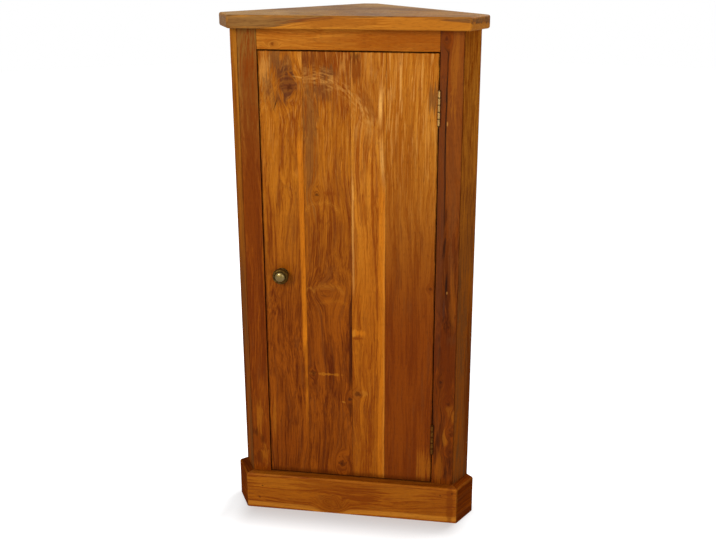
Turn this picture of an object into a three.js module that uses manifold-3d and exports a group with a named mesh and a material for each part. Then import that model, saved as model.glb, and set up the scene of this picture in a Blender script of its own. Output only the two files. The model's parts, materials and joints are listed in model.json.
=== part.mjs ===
// A teak corner cupboard with one plank door, in millimetres.
// X runs to the viewer's right, Y from the front back to the corner of the room, and Z up.
// The origin is on the floor, under the middle of the cupboard's overall box.
import * as THREE from 'three';
import { mergeVertices } from 'three/addons/utils/BufferGeometryUtils.js';
import Module from 'manifold-3d';

const wasm = await Module();
wasm.setup();

// Carcase: the front face, a canted return on each side, and two walls that meet at a right angle
const overallHeight = 1000;
const frontWidth = 412;
const returnRun = 27; // how far each return spreads sideways
const returnDepth = 51; // how far each return runs back
const cornerFlat = 30; // the back corner is blunted to this width
const frameThickness = 20;
const leftStileWidth = 36.5;
const rightStileWidth = 42.5;
const topRailHeight = 38;
const bottomRailHeight = 50;
const arrisRadius = 3;
const cornerExtra = 1.5; // corners are turned this much rounder than the edges are eased
const seat = 0.3; // the glue line, or the clearance, between two pieces that bear on each other

// Top
const topThickness = 24;
const topFrontOverhang = 22;
const topSideOverhang = 20;
const topEase = 4;
const topSeamShares = [0.35, 0.68]; // of the depth, from the front

// Plinth
const plinthHeight = 78;
const plinthThickness = 18;
const plinthEase = 3.5;

// Back walls and what is fixed to them
const backThickness = 10;
const backSeamShares = [0.34, 0.67]; // of each wall, from the return
const cornerPostDepth = 34;
const cornerPostHalfWidth = 26;
const battenSize = 22;
const cleatWidth = 16;
const cleatHeight = 18;

// Bottom board and shelves
const shelfThickness = 16;
const shelfLevelShares = [0.33, 0.66]; // of the height inside, from the bottom board

// Door
const doorSideGap = 1.5;
const doorEndGap = 2;
const doorRecess = 0.5; // how far the door's back lies short of the frame's back
const doorEase = 1.2;
const doorSeamShares = [0.248, 0.517, 0.714]; // of the door's width, from the left
const ledgeWidth = 60;
const ledgeThickness = 14;
const ledgeFromEnd = 48;
const ledgeFromSide = 20;
const stopWidth = 26;
const stopThickness = 10;
const stopOverlap = 8;

// Hinges
const hingeLength = 63.5;
const hingeFromDoorEnd = 65;
const barrelRadius = 2.5;
const barrelLift = 0.3; // between the barrel and the front face
const pinRadius = 1.1;
const pinPlay = 0.2;
const pinHeadRadius = 2.3;
const pinHeadHeight = 1.4;
const knuckleCount = 5;
const knucklePlay = 0.3;
const leafThickness = 1.6;
const leafReach = 15; // how far a leaf runs back from the front face
const leafScrewShare = 0.3; // of the hinge's length, from its middle to a screw
const leafScrewReach = 8.5; // from the front face back to a leaf's screws

// Screws
const screwHeadRadius = 2.9;
const screwHeadHeight = 1.5;
const screwRadius = 1.5;
const screwLength = 14;
const screwTip = 3;
const screwPlay = 0.25;
const slotWidth = 0.8;
const slotDepth = 0.7;

// Knob
const knobFromDoorEdge = 34.5;
const knobHeightShare = 0.503; // of the door's height
const roseRadius = 13;
const roseThickness = 2.5;
const roseEase = 1.2;
const neckRadius = 6;
const neckLength = 9;
const knobRadius = 15.5;
const knobThickness = 9;
const knobRimRound = 2.6;
const domeRadius = 11;
const domeHeight = 2.6;
const grooveWidth = 1.2;
const grooveDepth = 1.4;
const knobScrewRadius = 2;
const knobScrewGrip = 8; // how far the screw runs into the knob
const knobScrewHeadRadius = 4;
const knobScrewHeadHeight = 2.4;

// Catch
const catchWidth = 44;
const catchHeight = 13;
const catchDepth = 22;
const catchFromStop = 14;
const catchAir = 0.6;
const strikeWidth = 36;
const strikeThickness = 1.5;

// How round things are faceted, and how far a cutting tool runs past its work
const arcSteps = 4;
const roundSteps = 28;
const smallRoundSteps = 16;
const overrun = 5;

// Levels and edges that follow from the sizes above
const halfSquare = Math.SQRT1_2;
const frontHalf = frontWidth / 2;
const cornerReach = frontHalf + returnRun + returnDepth; // from the front face to the walls' corner
const carcaseTop = overallHeight - topThickness - seat;
const innerHeight = carcaseTop - plinthHeight;
const openingLeft = leftStileWidth - frontHalf;
const openingRight = frontHalf - rightStileWidth;
const openingTop = carcaseTop - topRailHeight;
const doorLeft = openingLeft + doorSideGap;
const doorRight = openingRight - doorSideGap;
const doorBottom = plinthHeight + doorEndGap;
const doorTop = openingTop - doorEndGap;
const doorThickness = frameThickness - doorRecess;
const shelfFront = frameThickness + stopThickness + 2 * seat;
const shelfTops = shelfLevelShares.map((share) => plinthHeight + share * innerHeight);
const upperShelfBottom = shelfTops.at(-1) - shelfThickness;
const postApex = cornerReach - (backThickness + seat) / halfSquare;
const postFront = postApex - cornerPostDepth;
const hingeAxisX = (doorRight + openingRight) / 2;
const hingeAxisY = -(barrelRadius + barrelLift);
const hingeMiddles = {
  lower: doorBottom + hingeFromDoorEnd + hingeLength / 2,
  upper: doorTop - hingeFromDoorEnd - hingeLength / 2,
};
const knobX = doorLeft + knobFromDoorEdge;
const knobZ = doorBottom + knobHeightShare * (doorTop - doorBottom);
const knobBack = 2 * seat + roseThickness; // from the door's face to the back of the neck
const knobReach = knobBack + neckLength + knobThickness + domeHeight;
const frontmost = Math.max(knobReach, topFrontOverhang, plinthThickness + seat);
const backmost = cornerReach - cornerFlat / 2;
const sides = { left: -1, right: 1 };

// Faces in plan. A face keeps the points where nx x + ny y is at most its reach.
function face(nx, ny, reach) {
  return { nx, ny, reach };
}

function outward(of, by) {
  return face(of.nx, of.ny, of.reach + by);
}

function inward(of, by) {
  return outward(of, -by);
}

function noDeeper(of, depth) {
  return face(-of.nx, -of.ny, depth - of.reach);
}

// The points that lie nearer to one face than to the other
function mitre(near, far) {
  const nx = far.nx - near.nx;
  const ny = far.ny - near.ny;
  const length = Math.hypot(nx, ny);
  return face(nx / length, ny / length, (far.reach - near.reach) / length);
}

function depthBelow(of, [x, y]) {
  return of.reach - of.nx * x - of.ny * y;
}

function leftOf(x) {
  return face(1, 0, x);
}

function rightOf(x) {
  return face(-1, 0, -x);
}

function before(y) {
  return face(0, 1, y);
}

function beyond(y) {
  return face(0, -1, -y);
}

// The convex outline that all the given faces leave, counter-clockwise
function planWithin(...faces) {
  const far = 2 * overallHeight;
  let corners = [[-far, -far], [far, -far], [far, far], [-far, far]];
  for (const limit of faces) {
    corners = corners.flatMap((here, index) => {
      const next = corners[(index + 1) % corners.length];
      const depthHere = depthBelow(limit, here);
      const depthNext = depthBelow(limit, next);
      const kept = depthHere >= 0 ? [here] : [];
      if (depthHere * depthNext < 0) {
        const share = depthHere / (depthHere - depthNext);
        kept.push(here.map((value, axis) => value + share * (next[axis] - value)));
      }
      return kept;
    });
  }
  return corners;
}

// The same outline with each corner turned on a radius
function rounded(corners, radius) {
  const points = corners.map(([x, y]) => new THREE.Vector2(x, y));
  return points.flatMap((corner, index) => {
    const back = points.at(index - 1).clone().sub(corner).normalize();
    const ahead = points[(index + 1) % points.length].clone().sub(corner).normalize();
    const halfAngle = Math.acos(back.dot(ahead)) / 2;
    const toCentre = back.clone().add(ahead).normalize();
    const centre = corner.clone().addScaledVector(toCentre, radius / Math.sin(halfAngle));
    const start = corner.clone().addScaledVector(back, radius / Math.tan(halfAngle)).sub(centre);
    const sweep = Math.PI - 2 * halfAngle;
    return Array.from({ length: arcSteps + 1 }, (_, step) => {
      const turned = start.clone().rotateAround(new THREE.Vector2(), (sweep * step) / arcSteps);
      return turned.add(centre).toArray();
    });
  });
}

// An outline raised from bottom to top. Ease rounds its edges at both ends.
function prism(corners, bottom, top, ease = 0) {
  const shape = new THREE.Shape(corners.map(([x, y]) => new THREE.Vector2(x, y)));
  const geometry = new THREE.ExtrudeGeometry(shape, {
    depth: top - bottom - 2 * ease,
    bevelEnabled: ease > 0,
    bevelThickness: ease,
    bevelSize: ease,
    bevelOffset: -ease,
    bevelSegments: arcSteps,
  });
  return geometry.translate(0, 0, bottom + ease);
}

function box(left, right, front, back, bottom, top) {
  const geometry = new THREE.BoxGeometry(right - left, back - front, top - bottom);
  return geometry.translate((left + right) / 2, (front + back) / 2, (bottom + top) / 2);
}

// A round bar with its axis upright, from bottom to top
function upright(radius, bottom, top, steps = smallRoundSteps) {
  const geometry = new THREE.CylinderGeometry(radius, radius, top - bottom, steps);
  return geometry.rotateX(Math.PI / 2).translate(0, 0, (bottom + top) / 2);
}

// A quarter of an ellipse as profile points, from its side to its end
function quarter(centreX, centreY, across, along) {
  return Array.from({ length: arcSteps + 1 }, (_, step) => {
    const angle = (Math.PI / 2) * (step / arcSteps);
    return [centreX + across * Math.cos(angle), centreY + along * Math.sin(angle)];
  });
}

// A profile of [radius, height] points turned round the upright axis
function turned(profile, steps = roundSteps) {
  const points = profile.map(([x, y]) => new THREE.Vector2(x, y));
  return new THREE.LatheGeometry(points, steps).rotateX(Math.PI / 2);
}

function solid(geometry) {
  const bare = geometry.clone();
  bare.deleteAttribute('normal');
  bare.deleteAttribute('uv');
  const merged = mergeVertices(bare);
  const index = merged.index.array;
  const triangles = [];
  for (let start = 0; start < index.length; start += 3) {
    const [a, b, c] = index.slice(start, start + 3);
    if (a !== b && b !== c && c !== a) {
      triangles.push(a, b, c);
    }
  }
  return new wasm.Manifold(new wasm.Mesh({
    numProp: 3,
    vertProperties: merged.attributes.position.array,
    triVerts: new Uint32Array(triangles),
  }));
}

function piece(name, material, body) {
  const { vertProperties, triVerts } = body.getMesh();
  const geometry = new THREE.BufferGeometry();
  geometry.setAttribute('position', new THREE.BufferAttribute(vertProperties, 3));
  geometry.setIndex(new THREE.BufferAttribute(triVerts, 1));
  geometry.computeVertexNormals();
  const mesh = new THREE.Mesh(geometry, material);
  mesh.name = name;
  return mesh;
}

function board(name, material, corners, bottom, top) {
  return piece(name, material, solid(prism(corners, bottom, top)));
}

// The part of a rounded body that lies within an outline
function partOf(body, corners, bottom = -overrun, top = overallHeight + overrun) {
  return body.intersect(solid(prism(corners, bottom, top)));
}

const teakTop = new THREE.MeshStandardMaterial({ color: 0xa86e33, roughness: 0.42, metalness: 0 });
const teakFrame = new THREE.MeshStandardMaterial({ color: 0x7d4718, roughness: 0.4, metalness: 0 });
const teakPlinth = new THREE.MeshStandardMaterial({ color: 0x995a17, roughness: 0.42, metalness: 0 });
const teakDoor = new THREE.MeshStandardMaterial({ color: 0xa3611f, roughness: 0.38, metalness: 0 });
const teakInside = new THREE.MeshStandardMaterial({ color: 0x9c6a3a, roughness: 0.6, metalness: 0 });
const brass = new THREE.MeshStandardMaterial({ color: 0xb08d3c, roughness: 0.3, metalness: 1 });
const agedBrass = new THREE.MeshStandardMaterial({ color: 0x8a7838, roughness: 0.28, metalness: 1 });
const steel = new THREE.MeshStandardMaterial({ color: 0x9a9a98, roughness: 0.35, metalness: 1 });
const brownPlastic = new THREE.MeshStandardMaterial({ color: 0x4a3222, roughness: 0.5, metalness: 0 });

// The faces that bound the carcase in plan
const frontFace = face(0, -1, 0);
const cornerFace = before(backmost);
const returnLength = Math.hypot(returnRun, returnDepth);

function returnFace(side) {
  const nx = (side * returnDepth) / returnLength;
  return face(nx, -returnRun / returnLength, side * nx * frontHalf);
}

function wallFace(side) {
  return face(side * halfSquare, halfSquare, cornerReach * halfSquare);
}

// The whole plan, standing proud of the carcase at the front and at the returns
function footprint(frontOverhang = 0, sideOverhang = 0) {
  return planWithin(
    outward(frontFace, frontOverhang),
    ...Object.values(sides).map((side) => outward(returnFace(side), sideOverhang)),
    ...Object.values(sides).map(wallFace),
    cornerFace,
  );
}

function innerReturn(side) {
  return inward(returnFace(side), frameThickness + seat);
}

function innerWall(side) {
  return inward(wallFace(side), backThickness + seat);
}

const carcaseBody = solid(prism(rounded(footprint(), arrisRadius), 0, carcaseTop));

function topBoards() {
  const outline = rounded(footprint(topFrontOverhang, topSideOverhang), topEase + cornerExtra);
  const body = solid(prism(outline, carcaseTop + seat, overallHeight, topEase));
  const depth = backmost + topFrontOverhang;
  const seams = [0, ...topSeamShares, 1].map((share) => share * depth - topFrontOverhang);
  return ['front', 'middle', 'back'].map((place, index) => {
    const from = index === 0 ? seams[0] - overrun : seams[index] + seat / 2;
    const to = index === topSeamShares.length ? seams.at(-1) + overrun : seams[index + 1] - seat / 2;
    return piece(`top_board_${place}`, teakTop, partOf(body, planWithin(beyond(from), before(to))));
  });
}

// What the frame's leaf of each hinge and its screws take out of the right stile
function hingeRecess(side) {
  const edge = hingeAxisX + (side * doorSideGap) / 2;
  const floor = edge + side * (leafThickness + seat);
  return Object.values(hingeMiddles).flatMap((middle) => {
    const half = hingeLength / 2 + seat;
    const reach = leafReach + seat;
    const mortise = box(Math.min(edge - side * overrun, floor), Math.max(edge - side * overrun, floor),
      -overrun, reach, middle - half, middle + half);
    const pilots = leafScrewPlaces(middle).map((z) => {
      const bar = upright(screwRadius + screwPlay, 0, screwLength + seat);
      return bar.rotateY((side * Math.PI) / 2).translate(edge, leafScrewReach, z);
    });
    return [mortise, ...pilots];
  });
}

function leafScrewPlaces(middle) {
  return [-1, 1].map((end) => middle + end * leafScrewShare * hingeLength);
}

function cutBy(body, geometries) {
  return geometries.reduce((rest, geometry) => rest.subtract(solid(geometry)), body);
}

function stiles() {
  return Object.entries(sides).map(([label, side]) => {
    const edge = side > 0 ? rightOf(openingRight) : leftOf(openingLeft);
    const corners = planWithin(
      edge,
      noDeeper(frontFace, frameThickness),
      inward(mitre(frontFace, returnFace(side)), seat / 2),
    );
    const body = partOf(carcaseBody, corners);
    return piece(`${label}_stile`, teakFrame, side > 0 ? cutBy(body, hingeRecess(side)) : body);
  });
}

function returns() {
  return Object.entries(sides).map(([label, side]) => {
    const corners = planWithin(
      noDeeper(returnFace(side), frameThickness),
      inward(mitre(returnFace(side), frontFace), seat / 2),
    );
    return piece(`${label}_return`, teakFrame, partOf(carcaseBody, corners));
  });
}

function rails() {
  const corners = planWithin(
    frontFace,
    noDeeper(frontFace, frameThickness),
    rightOf(openingLeft + seat),
    leftOf(openingRight - seat),
  );
  return [
    board('top_rail', teakFrame, corners, openingTop, carcaseTop),
    board('bottom_rail', teakInside, corners, plinthHeight - bottomRailHeight, plinthHeight),
  ];
}

function plinth() {
  const proud = seat + plinthThickness;
  const outline = rounded(footprint(proud, proud), plinthEase + cornerExtra);
  const body = solid(prism(outline, -plinthEase, plinthHeight, plinthEase));
  const outerFront = outward(frontFace, proud);
  const frontCorners = planWithin(
    before(-seat),
    ...Object.values(sides).map((side) => {
      return inward(mitre(outerFront, outward(returnFace(side), proud)), seat / 2);
    }),
  );
  const returnPieces = Object.entries(sides).map(([label, side]) => {
    const outerReturn = outward(returnFace(side), proud);
    const corners = planWithin(
      noDeeper(outerReturn, plinthThickness),
      inward(mitre(outerReturn, outerFront), seat / 2),
    );
    return piece(`plinth_${label}`, teakPlinth, partOf(body, corners, 0));
  });
  return [piece('plinth_front', teakPlinth, partOf(body, frontCorners, 0)), ...returnPieces];
}

// Where two faces cross in plan
function crossing(a, b) {
  const area = a.nx * b.ny - b.nx * a.ny;
  return [(a.reach * b.ny - b.reach * a.ny) / area, (a.nx * b.reach - b.nx * a.reach) / area];
}

function backBoards() {
  return Object.entries(sides).flatMap(([label, side]) => {
    const alongWall = face(-side * halfSquare, halfSquare, 0);
    const start = -depthBelow(alongWall, crossing(wallFace(side), innerReturn(side)));
    const end = -depthBelow(alongWall, crossing(wallFace(side), cornerFace));
    const seams = backSeamShares.map((share) => start + share * (end - start));
    const common = [
      noDeeper(wallFace(side), backThickness),
      innerReturn(side),
      side > 0 ? rightOf(seat / 2) : leftOf(-seat / 2),
    ];
    return [0, ...backSeamShares].map((_, index) => {
      const limits = [...common];
      if (index > 0) {
        limits.push(noDeeper(alongWall, -seams[index - 1] - seat / 2));
      }
      if (index < seams.length) {
        limits.push(outward(alongWall, seams[index] - seat / 2));
      }
      return piece(`${label}_back_board_${index + 1}`, teakInside, partOf(carcaseBody, planWithin(...limits)));
    });
  });
}

function cornerPost() {
  const corners = planWithin(
    ...Object.values(sides).map(innerWall),
    cornerFace,
    beyond(postFront),
    leftOf(cornerPostHalfWidth),
    rightOf(-cornerPostHalfWidth),
  );
  return board('back_corner_post', teakInside, corners, 0, carcaseTop);
}

function battens() {
  return Object.entries(sides).map(([label, side]) => {
    const corners = planWithin(
      innerReturn(side),
      innerWall(side),
      noDeeper(innerReturn(side), battenSize),
      noDeeper(innerWall(side), battenSize),
    );
    return board(`${label}_batten`, teakInside, corners, 0, carcaseTop);
  });
}

// A board that fills the carcase from wall to wall, notched round the battens
function shelfBoard(name, front, bottom, top) {
  const corners = planWithin(
    beyond(front),
    before(postFront - seat),
    ...Object.values(sides).flatMap((side) => [innerReturn(side), innerWall(side)]),
  );
  const notches = Object.values(sides).map((side) => {
    const notch = planWithin(
      outward(innerReturn(side), overrun),
      outward(innerWall(side), overrun),
      noDeeper(innerReturn(side), battenSize + seat),
      noDeeper(innerWall(side), battenSize + seat),
    );
    return prism(notch, bottom - overrun, top + overrun);
  });
  return piece(name, teakInside, cutBy(solid(prism(corners, bottom, top)), notches));
}

function shelves() {
  const bottom = shelfBoard('bottom_board', frameThickness + seat, plinthHeight - shelfThickness, plinthHeight);
  const raised = ['lower', 'upper'].map((label, index) => {
    return shelfBoard(`${label}_shelf`, shelfFront, shelfTops[index] - shelfThickness, shelfTops[index]);
  });
  return [bottom, ...raised];
}

function cleats() {
  const tops = {
    bottom: plinthHeight - shelfThickness - seat,
    lower: shelfTops[0] - shelfThickness - seat,
    upper: upperShelfBottom - seat,
    top: carcaseTop,
  };
  return Object.entries(sides).flatMap(([label, side]) => {
    const corners = planWithin(
      innerWall(side),
      noDeeper(innerWall(side), cleatWidth),
      inward(innerReturn(side), battenSize + seat),
      side > 0 ? rightOf(cornerPostHalfWidth + seat) : leftOf(-cornerPostHalfWidth - seat),
    );
    return Object.entries(tops).map(([level, top]) => {
      return board(`${label}_${level}_cleat`, teakInside, corners, top - cleatHeight, top);
    });
  });
}

function doorStop() {
  const right = openingLeft + stopOverlap;
  const front = frameThickness + seat;
  const body = box(right - stopWidth, right, front, front + stopThickness, plinthHeight + seat, carcaseTop);
  return piece('door_stop', teakInside, solid(body));
}

function catchPieces() {
  const left = openingLeft + stopOverlap + catchFromStop;
  const strikeFront = doorThickness + seat;
  const strikeBack = strikeFront + strikeThickness;
  const top = upperShelfBottom - seat;
  const housing = box(left, left + catchWidth, strikeBack + catchAir, strikeBack + catchAir + catchDepth,
    top - catchHeight, top);
  const inset = (catchWidth - strikeWidth) / 2;
  const strike = box(left + inset, left + inset + strikeWidth, strikeFront, strikeBack, top - catchHeight, top);
  return {
    housing: piece('catch_housing', brownPlastic, solid(housing)),
    strike: piece('catch_strike', steel, solid(strike)),
  };
}

// Four boards glued edge to edge, with the hinge recesses and the hole for the knob's screw
function doorBoards() {
  const outline = planWithin(frontFace, noDeeper(frontFace, doorThickness), rightOf(doorLeft), leftOf(doorRight));
  const body = solid(prism(rounded(outline, doorEase + cornerExtra), doorBottom, doorTop, doorEase));
  const knobHole = alongY(upright(knobScrewRadius + screwPlay, -overrun, doorThickness + overrun));
  const cut = cutBy(body, [...hingeRecess(-1), knobHole.translate(knobX, 0, knobZ)]);
  const width = doorRight - doorLeft;
  const seams = [0, ...doorSeamShares, 1].map((share) => doorLeft + share * width);
  return [0, ...doorSeamShares].map((_, index) => {
    const from = index === 0 ? seams[0] - overrun : seams[index] + seat / 2;
    const to = index === doorSeamShares.length ? seams.at(-1) + overrun : seams[index + 1] - seat / 2;
    return piece(`door_board_${index + 1}`, teakDoor, partOf(cut, planWithin(rightOf(from), leftOf(to))));
  });
}

function doorLedges() {
  const bottoms = { lower: doorBottom + ledgeFromEnd, upper: doorTop - ledgeFromEnd - ledgeWidth };
  return Object.entries(bottoms).map(([label, bottom]) => {
    const front = doorThickness + seat;
    const bar = box(doorLeft + ledgeFromSide, doorRight - ledgeFromSide, front, front + ledgeThickness,
      bottom, bottom + ledgeWidth);
    return piece(`${label}_door_ledge`, teakInside, solid(bar));
  });
}

// Turns a piece that stands upright so that its foot faces the front and its head the back
function alongY(geometry) {
  return geometry.rotateX(-Math.PI / 2);
}

// One leaf of a hinge with its knuckles. Side is -1 for the door's leaf and 1 for the frame's.
function hingeLeaf(side, middle) {
  const bottom = middle - hingeLength / 2;
  const top = middle + hingeLength / 2;
  const inner = hingeAxisX + (side * doorSideGap) / 2;
  const outer = inner + side * leafThickness;
  const left = Math.min(inner, outer);
  const right = Math.max(inner, outer);
  const knuckleLength = hingeLength / knuckleCount;
  const clearOfBarrel = hingeAxisY + barrelRadius + knucklePlay;
  let leaf = solid(box(left, right, hingeAxisY, leafReach, bottom, top));
  for (let index = 0; index < knuckleCount; index += 1) {
    const from = bottom + index * knuckleLength;
    const isOwn = (index % 2 === 0) === (side > 0);
    if (isOwn) {
      const low = index === 0 ? from : from + knucklePlay / 2;
      const high = index === knuckleCount - 1 ? top : from + knuckleLength - knucklePlay / 2;
      const knuckle = upright(barrelRadius, low, high, roundSteps);
      leaf = leaf.add(solid(knuckle.translate(hingeAxisX, hingeAxisY, 0)));
    } else {
      const low = from - (index === 0 ? overrun : knucklePlay / 2);
      const high = from + knuckleLength + (index === knuckleCount - 1 ? overrun : knucklePlay / 2);
      leaf = leaf.subtract(solid(box(left - overrun, right + overrun, hingeAxisY - overrun, clearOfBarrel,
        low, high)));
    }
  }
  const bore = upright(pinRadius + pinPlay, bottom - overrun, top + overrun);
  const sinks = leafScrewPlaces(middle).map((z) => countersink(side).translate(inner, leafScrewReach, z));
  return cutBy(leaf, [bore.translate(hingeAxisX, hingeAxisY, 0), ...sinks]);
}

// The hole that a leaf has for a screw, along X and opening on the leaf's face
function countersink(side) {
  const wide = screwHeadRadius + screwPlay;
  const narrow = screwRadius + screwPlay;
  const profile = [
    [0, -leafThickness - overrun],
    [narrow, -leafThickness - overrun],
    [narrow, -screwHeadHeight],
    [wide, 0],
    [wide, overrun],
    [0, overrun],
  ];
  return turned(profile, smallRoundSteps).rotateY((-side * Math.PI) / 2);
}

function hingePin(middle) {
  const half = hingeLength / 2 + seat;
  const head = [
    [pinHeadRadius, half],
    ...quarter(0, half, pinHeadRadius, pinHeadHeight).slice(1, -1),
    [0, half + pinHeadHeight],
  ];
  const foot = head.map(([radius, height]) => [radius, -height]).reverse();
  const profile = [...foot, [pinRadius, -half], [pinRadius, half], ...head];
  return turned(profile, smallRoundSteps).translate(hingeAxisX, hingeAxisY, middle);
}

// A slotted countersunk screw along X, its head level with the face of a hinge leaf
function leafScrew(side, z) {
  const inner = hingeAxisX + (side * doorSideGap) / 2;
  const profile = [
    [0, -screwLength],
    [screwRadius, screwTip - screwLength],
    [screwRadius, -screwHeadHeight],
    [screwHeadRadius, 0],
    [0, 0],
  ];
  const place = (geometry) => geometry.rotateY((-side * Math.PI) / 2).translate(inner, leafScrewReach, z);
  const slot = box(-overrun, overrun, -slotWidth / 2, slotWidth / 2, -slotDepth, overrun);
  return cutBy(solid(place(turned(profile, smallRoundSteps))), [place(slot)]);
}

function hinges() {
  const frameSide = [];
  const doorSide = [];
  for (const [label, middle] of Object.entries(hingeMiddles)) {
    frameSide.push(piece(`${label}_hinge_frame_leaf`, brass, hingeLeaf(1, middle)));
    frameSide.push(piece(`${label}_hinge_pin`, brass, solid(hingePin(middle))));
    doorSide.push(piece(`${label}_hinge_door_leaf`, brass, hingeLeaf(-1, middle)));
    leafScrewPlaces(middle).forEach((z, index) => {
      frameSide.push(piece(`${label}_hinge_frame_screw_${index + 1}`, brass, leafScrew(1, z)));
      doorSide.push(piece(`${label}_hinge_door_screw_${index + 1}`, brass, leafScrew(-1, z)));
    });
  }
  return { frameSide, doorSide };
}

// The knob's pieces are turned upright, with the front of the knob up, and then laid along Y
function layKnob(geometry) {
  return geometry.rotateX(Math.PI / 2).translate(knobX, 0, knobZ);
}

function knobRose() {
  const back = seat;
  const front = seat + roseThickness;
  const hole = knobScrewRadius + screwPlay;
  const profile = [
    [hole, back],
    [roseRadius, back],
    ...quarter(roseRadius - roseEase, front - roseEase, roseEase, roseEase),
    [hole, front],
    [hole, back],
  ];
  return piece('knob_rose', agedBrass, solid(layKnob(turned(profile))));
}

function knob() {
  const hole = knobScrewRadius + screwPlay;
  const headBack = knobBack + neckLength;
  const headFront = headBack + knobThickness;
  const rimArc = Array.from({ length: 2 * arcSteps + 1 }, (_, step) => {
    const angle = Math.PI * (step / (2 * arcSteps) - 1 / 2);
    const along = (knobThickness / 2) * (1 + Math.sin(angle));
    return [knobRadius - knobRimRound + knobRimRound * Math.cos(angle), headBack + along];
  });
  const profile = [
    [0, knobBack + knobScrewGrip + seat],
    [hole, knobBack + knobScrewGrip + seat],
    [hole, knobBack],
    [neckRadius, knobBack],
    [neckRadius, headBack],
    ...rimArc,
    [domeRadius + grooveWidth, headFront - grooveDepth],
    [domeRadius, headFront - grooveDepth],
    ...quarter(0, headFront, domeRadius, domeHeight),
  ];
  profile[profile.length - 1][0] = 0;
  return piece('knob', agedBrass, solid(layKnob(turned(profile))));
}

function knobScrew() {
  const headBack = -doorThickness - seat - knobScrewHeadHeight;
  const headFront = -doorThickness - seat;
  const profile = [
    [0, headBack],
    [knobScrewHeadRadius, headBack],
    [knobScrewHeadRadius, headFront],
    [knobScrewRadius, headFront],
    [knobScrewRadius, knobBack + knobScrewGrip],
    [0, knobBack + knobScrewGrip],
  ];
  const slot = box(-overrun, overrun, -slotWidth / 2, slotWidth / 2, headBack - overrun, headBack + slotDepth);
  const body = cutBy(solid(layKnob(turned(profile))), [layKnob(slot)]);
  return piece('knob_screw', steel, body);
}

function carcase(hingePieces, housing) {
  const group = new THREE.Group();
  group.add(...topBoards(), ...stiles(), ...returns(), ...rails(), ...plinth(), ...backBoards());
  group.add(cornerPost(), ...battens(), ...shelves(), ...cleats(), doorStop(), housing, ...hingePieces);
  return group;
}

function door(hingePieces, strike) {
  const group = new THREE.Group();
  group.add(...doorBoards(), ...doorLedges(), strike, knob(), knobRose(), knobScrew(), ...hingePieces);
  return group;
}

const cupboard = new THREE.Group();
const { frameSide, doorSide } = hinges();
const { housing, strike } = catchPieces();
cupboard.add(carcase(frameSide, housing), door(doorSide, strike));
cupboard.position.y = (frontmost - backmost) / 2;

export default cupboard;
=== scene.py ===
"""Corner cupboard in varnished teak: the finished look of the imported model.

Everything is in metres, in the model's own frame: +X to the viewer's right, the door faces -Y, +Z up.
The knots and the marks of the wood are given in millimetres.
"""

import json
import logging
from dataclasses import dataclass, replace
from enum import Enum
from math import atan2, cos, degrees, pi, radians, sin, sqrt
from typing import Any, ClassVar, Iterable, Sequence, Union

import bmesh
import bpy
from mathutils import Matrix, Vector

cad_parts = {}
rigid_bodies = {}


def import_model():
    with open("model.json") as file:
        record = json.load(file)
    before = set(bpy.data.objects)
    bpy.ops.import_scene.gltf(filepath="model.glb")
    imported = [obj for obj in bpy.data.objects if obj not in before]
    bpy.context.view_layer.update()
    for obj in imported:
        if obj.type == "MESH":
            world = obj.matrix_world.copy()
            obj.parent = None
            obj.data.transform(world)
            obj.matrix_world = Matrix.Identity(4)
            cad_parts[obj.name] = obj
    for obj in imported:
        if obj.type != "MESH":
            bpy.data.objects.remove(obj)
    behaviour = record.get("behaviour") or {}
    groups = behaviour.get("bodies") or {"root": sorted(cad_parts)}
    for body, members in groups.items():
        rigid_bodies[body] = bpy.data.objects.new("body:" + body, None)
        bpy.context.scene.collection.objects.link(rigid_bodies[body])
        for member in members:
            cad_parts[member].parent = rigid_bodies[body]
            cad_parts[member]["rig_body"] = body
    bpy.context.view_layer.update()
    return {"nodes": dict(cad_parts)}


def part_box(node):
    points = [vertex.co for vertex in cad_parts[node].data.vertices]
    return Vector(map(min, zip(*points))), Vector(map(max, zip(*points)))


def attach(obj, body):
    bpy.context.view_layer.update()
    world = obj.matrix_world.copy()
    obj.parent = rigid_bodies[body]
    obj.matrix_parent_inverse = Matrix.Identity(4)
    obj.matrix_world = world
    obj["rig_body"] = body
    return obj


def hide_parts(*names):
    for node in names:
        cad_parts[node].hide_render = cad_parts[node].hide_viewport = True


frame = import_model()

MM = 0.001
ORIGIN = (0.0, 0.0, 0.0)

log = logging.getLogger("corner_cupboard")

Socket = bpy.types.NodeSocket
Value = Union["Wire", "Tone", Vector, float, tuple[float, ...]]


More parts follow.
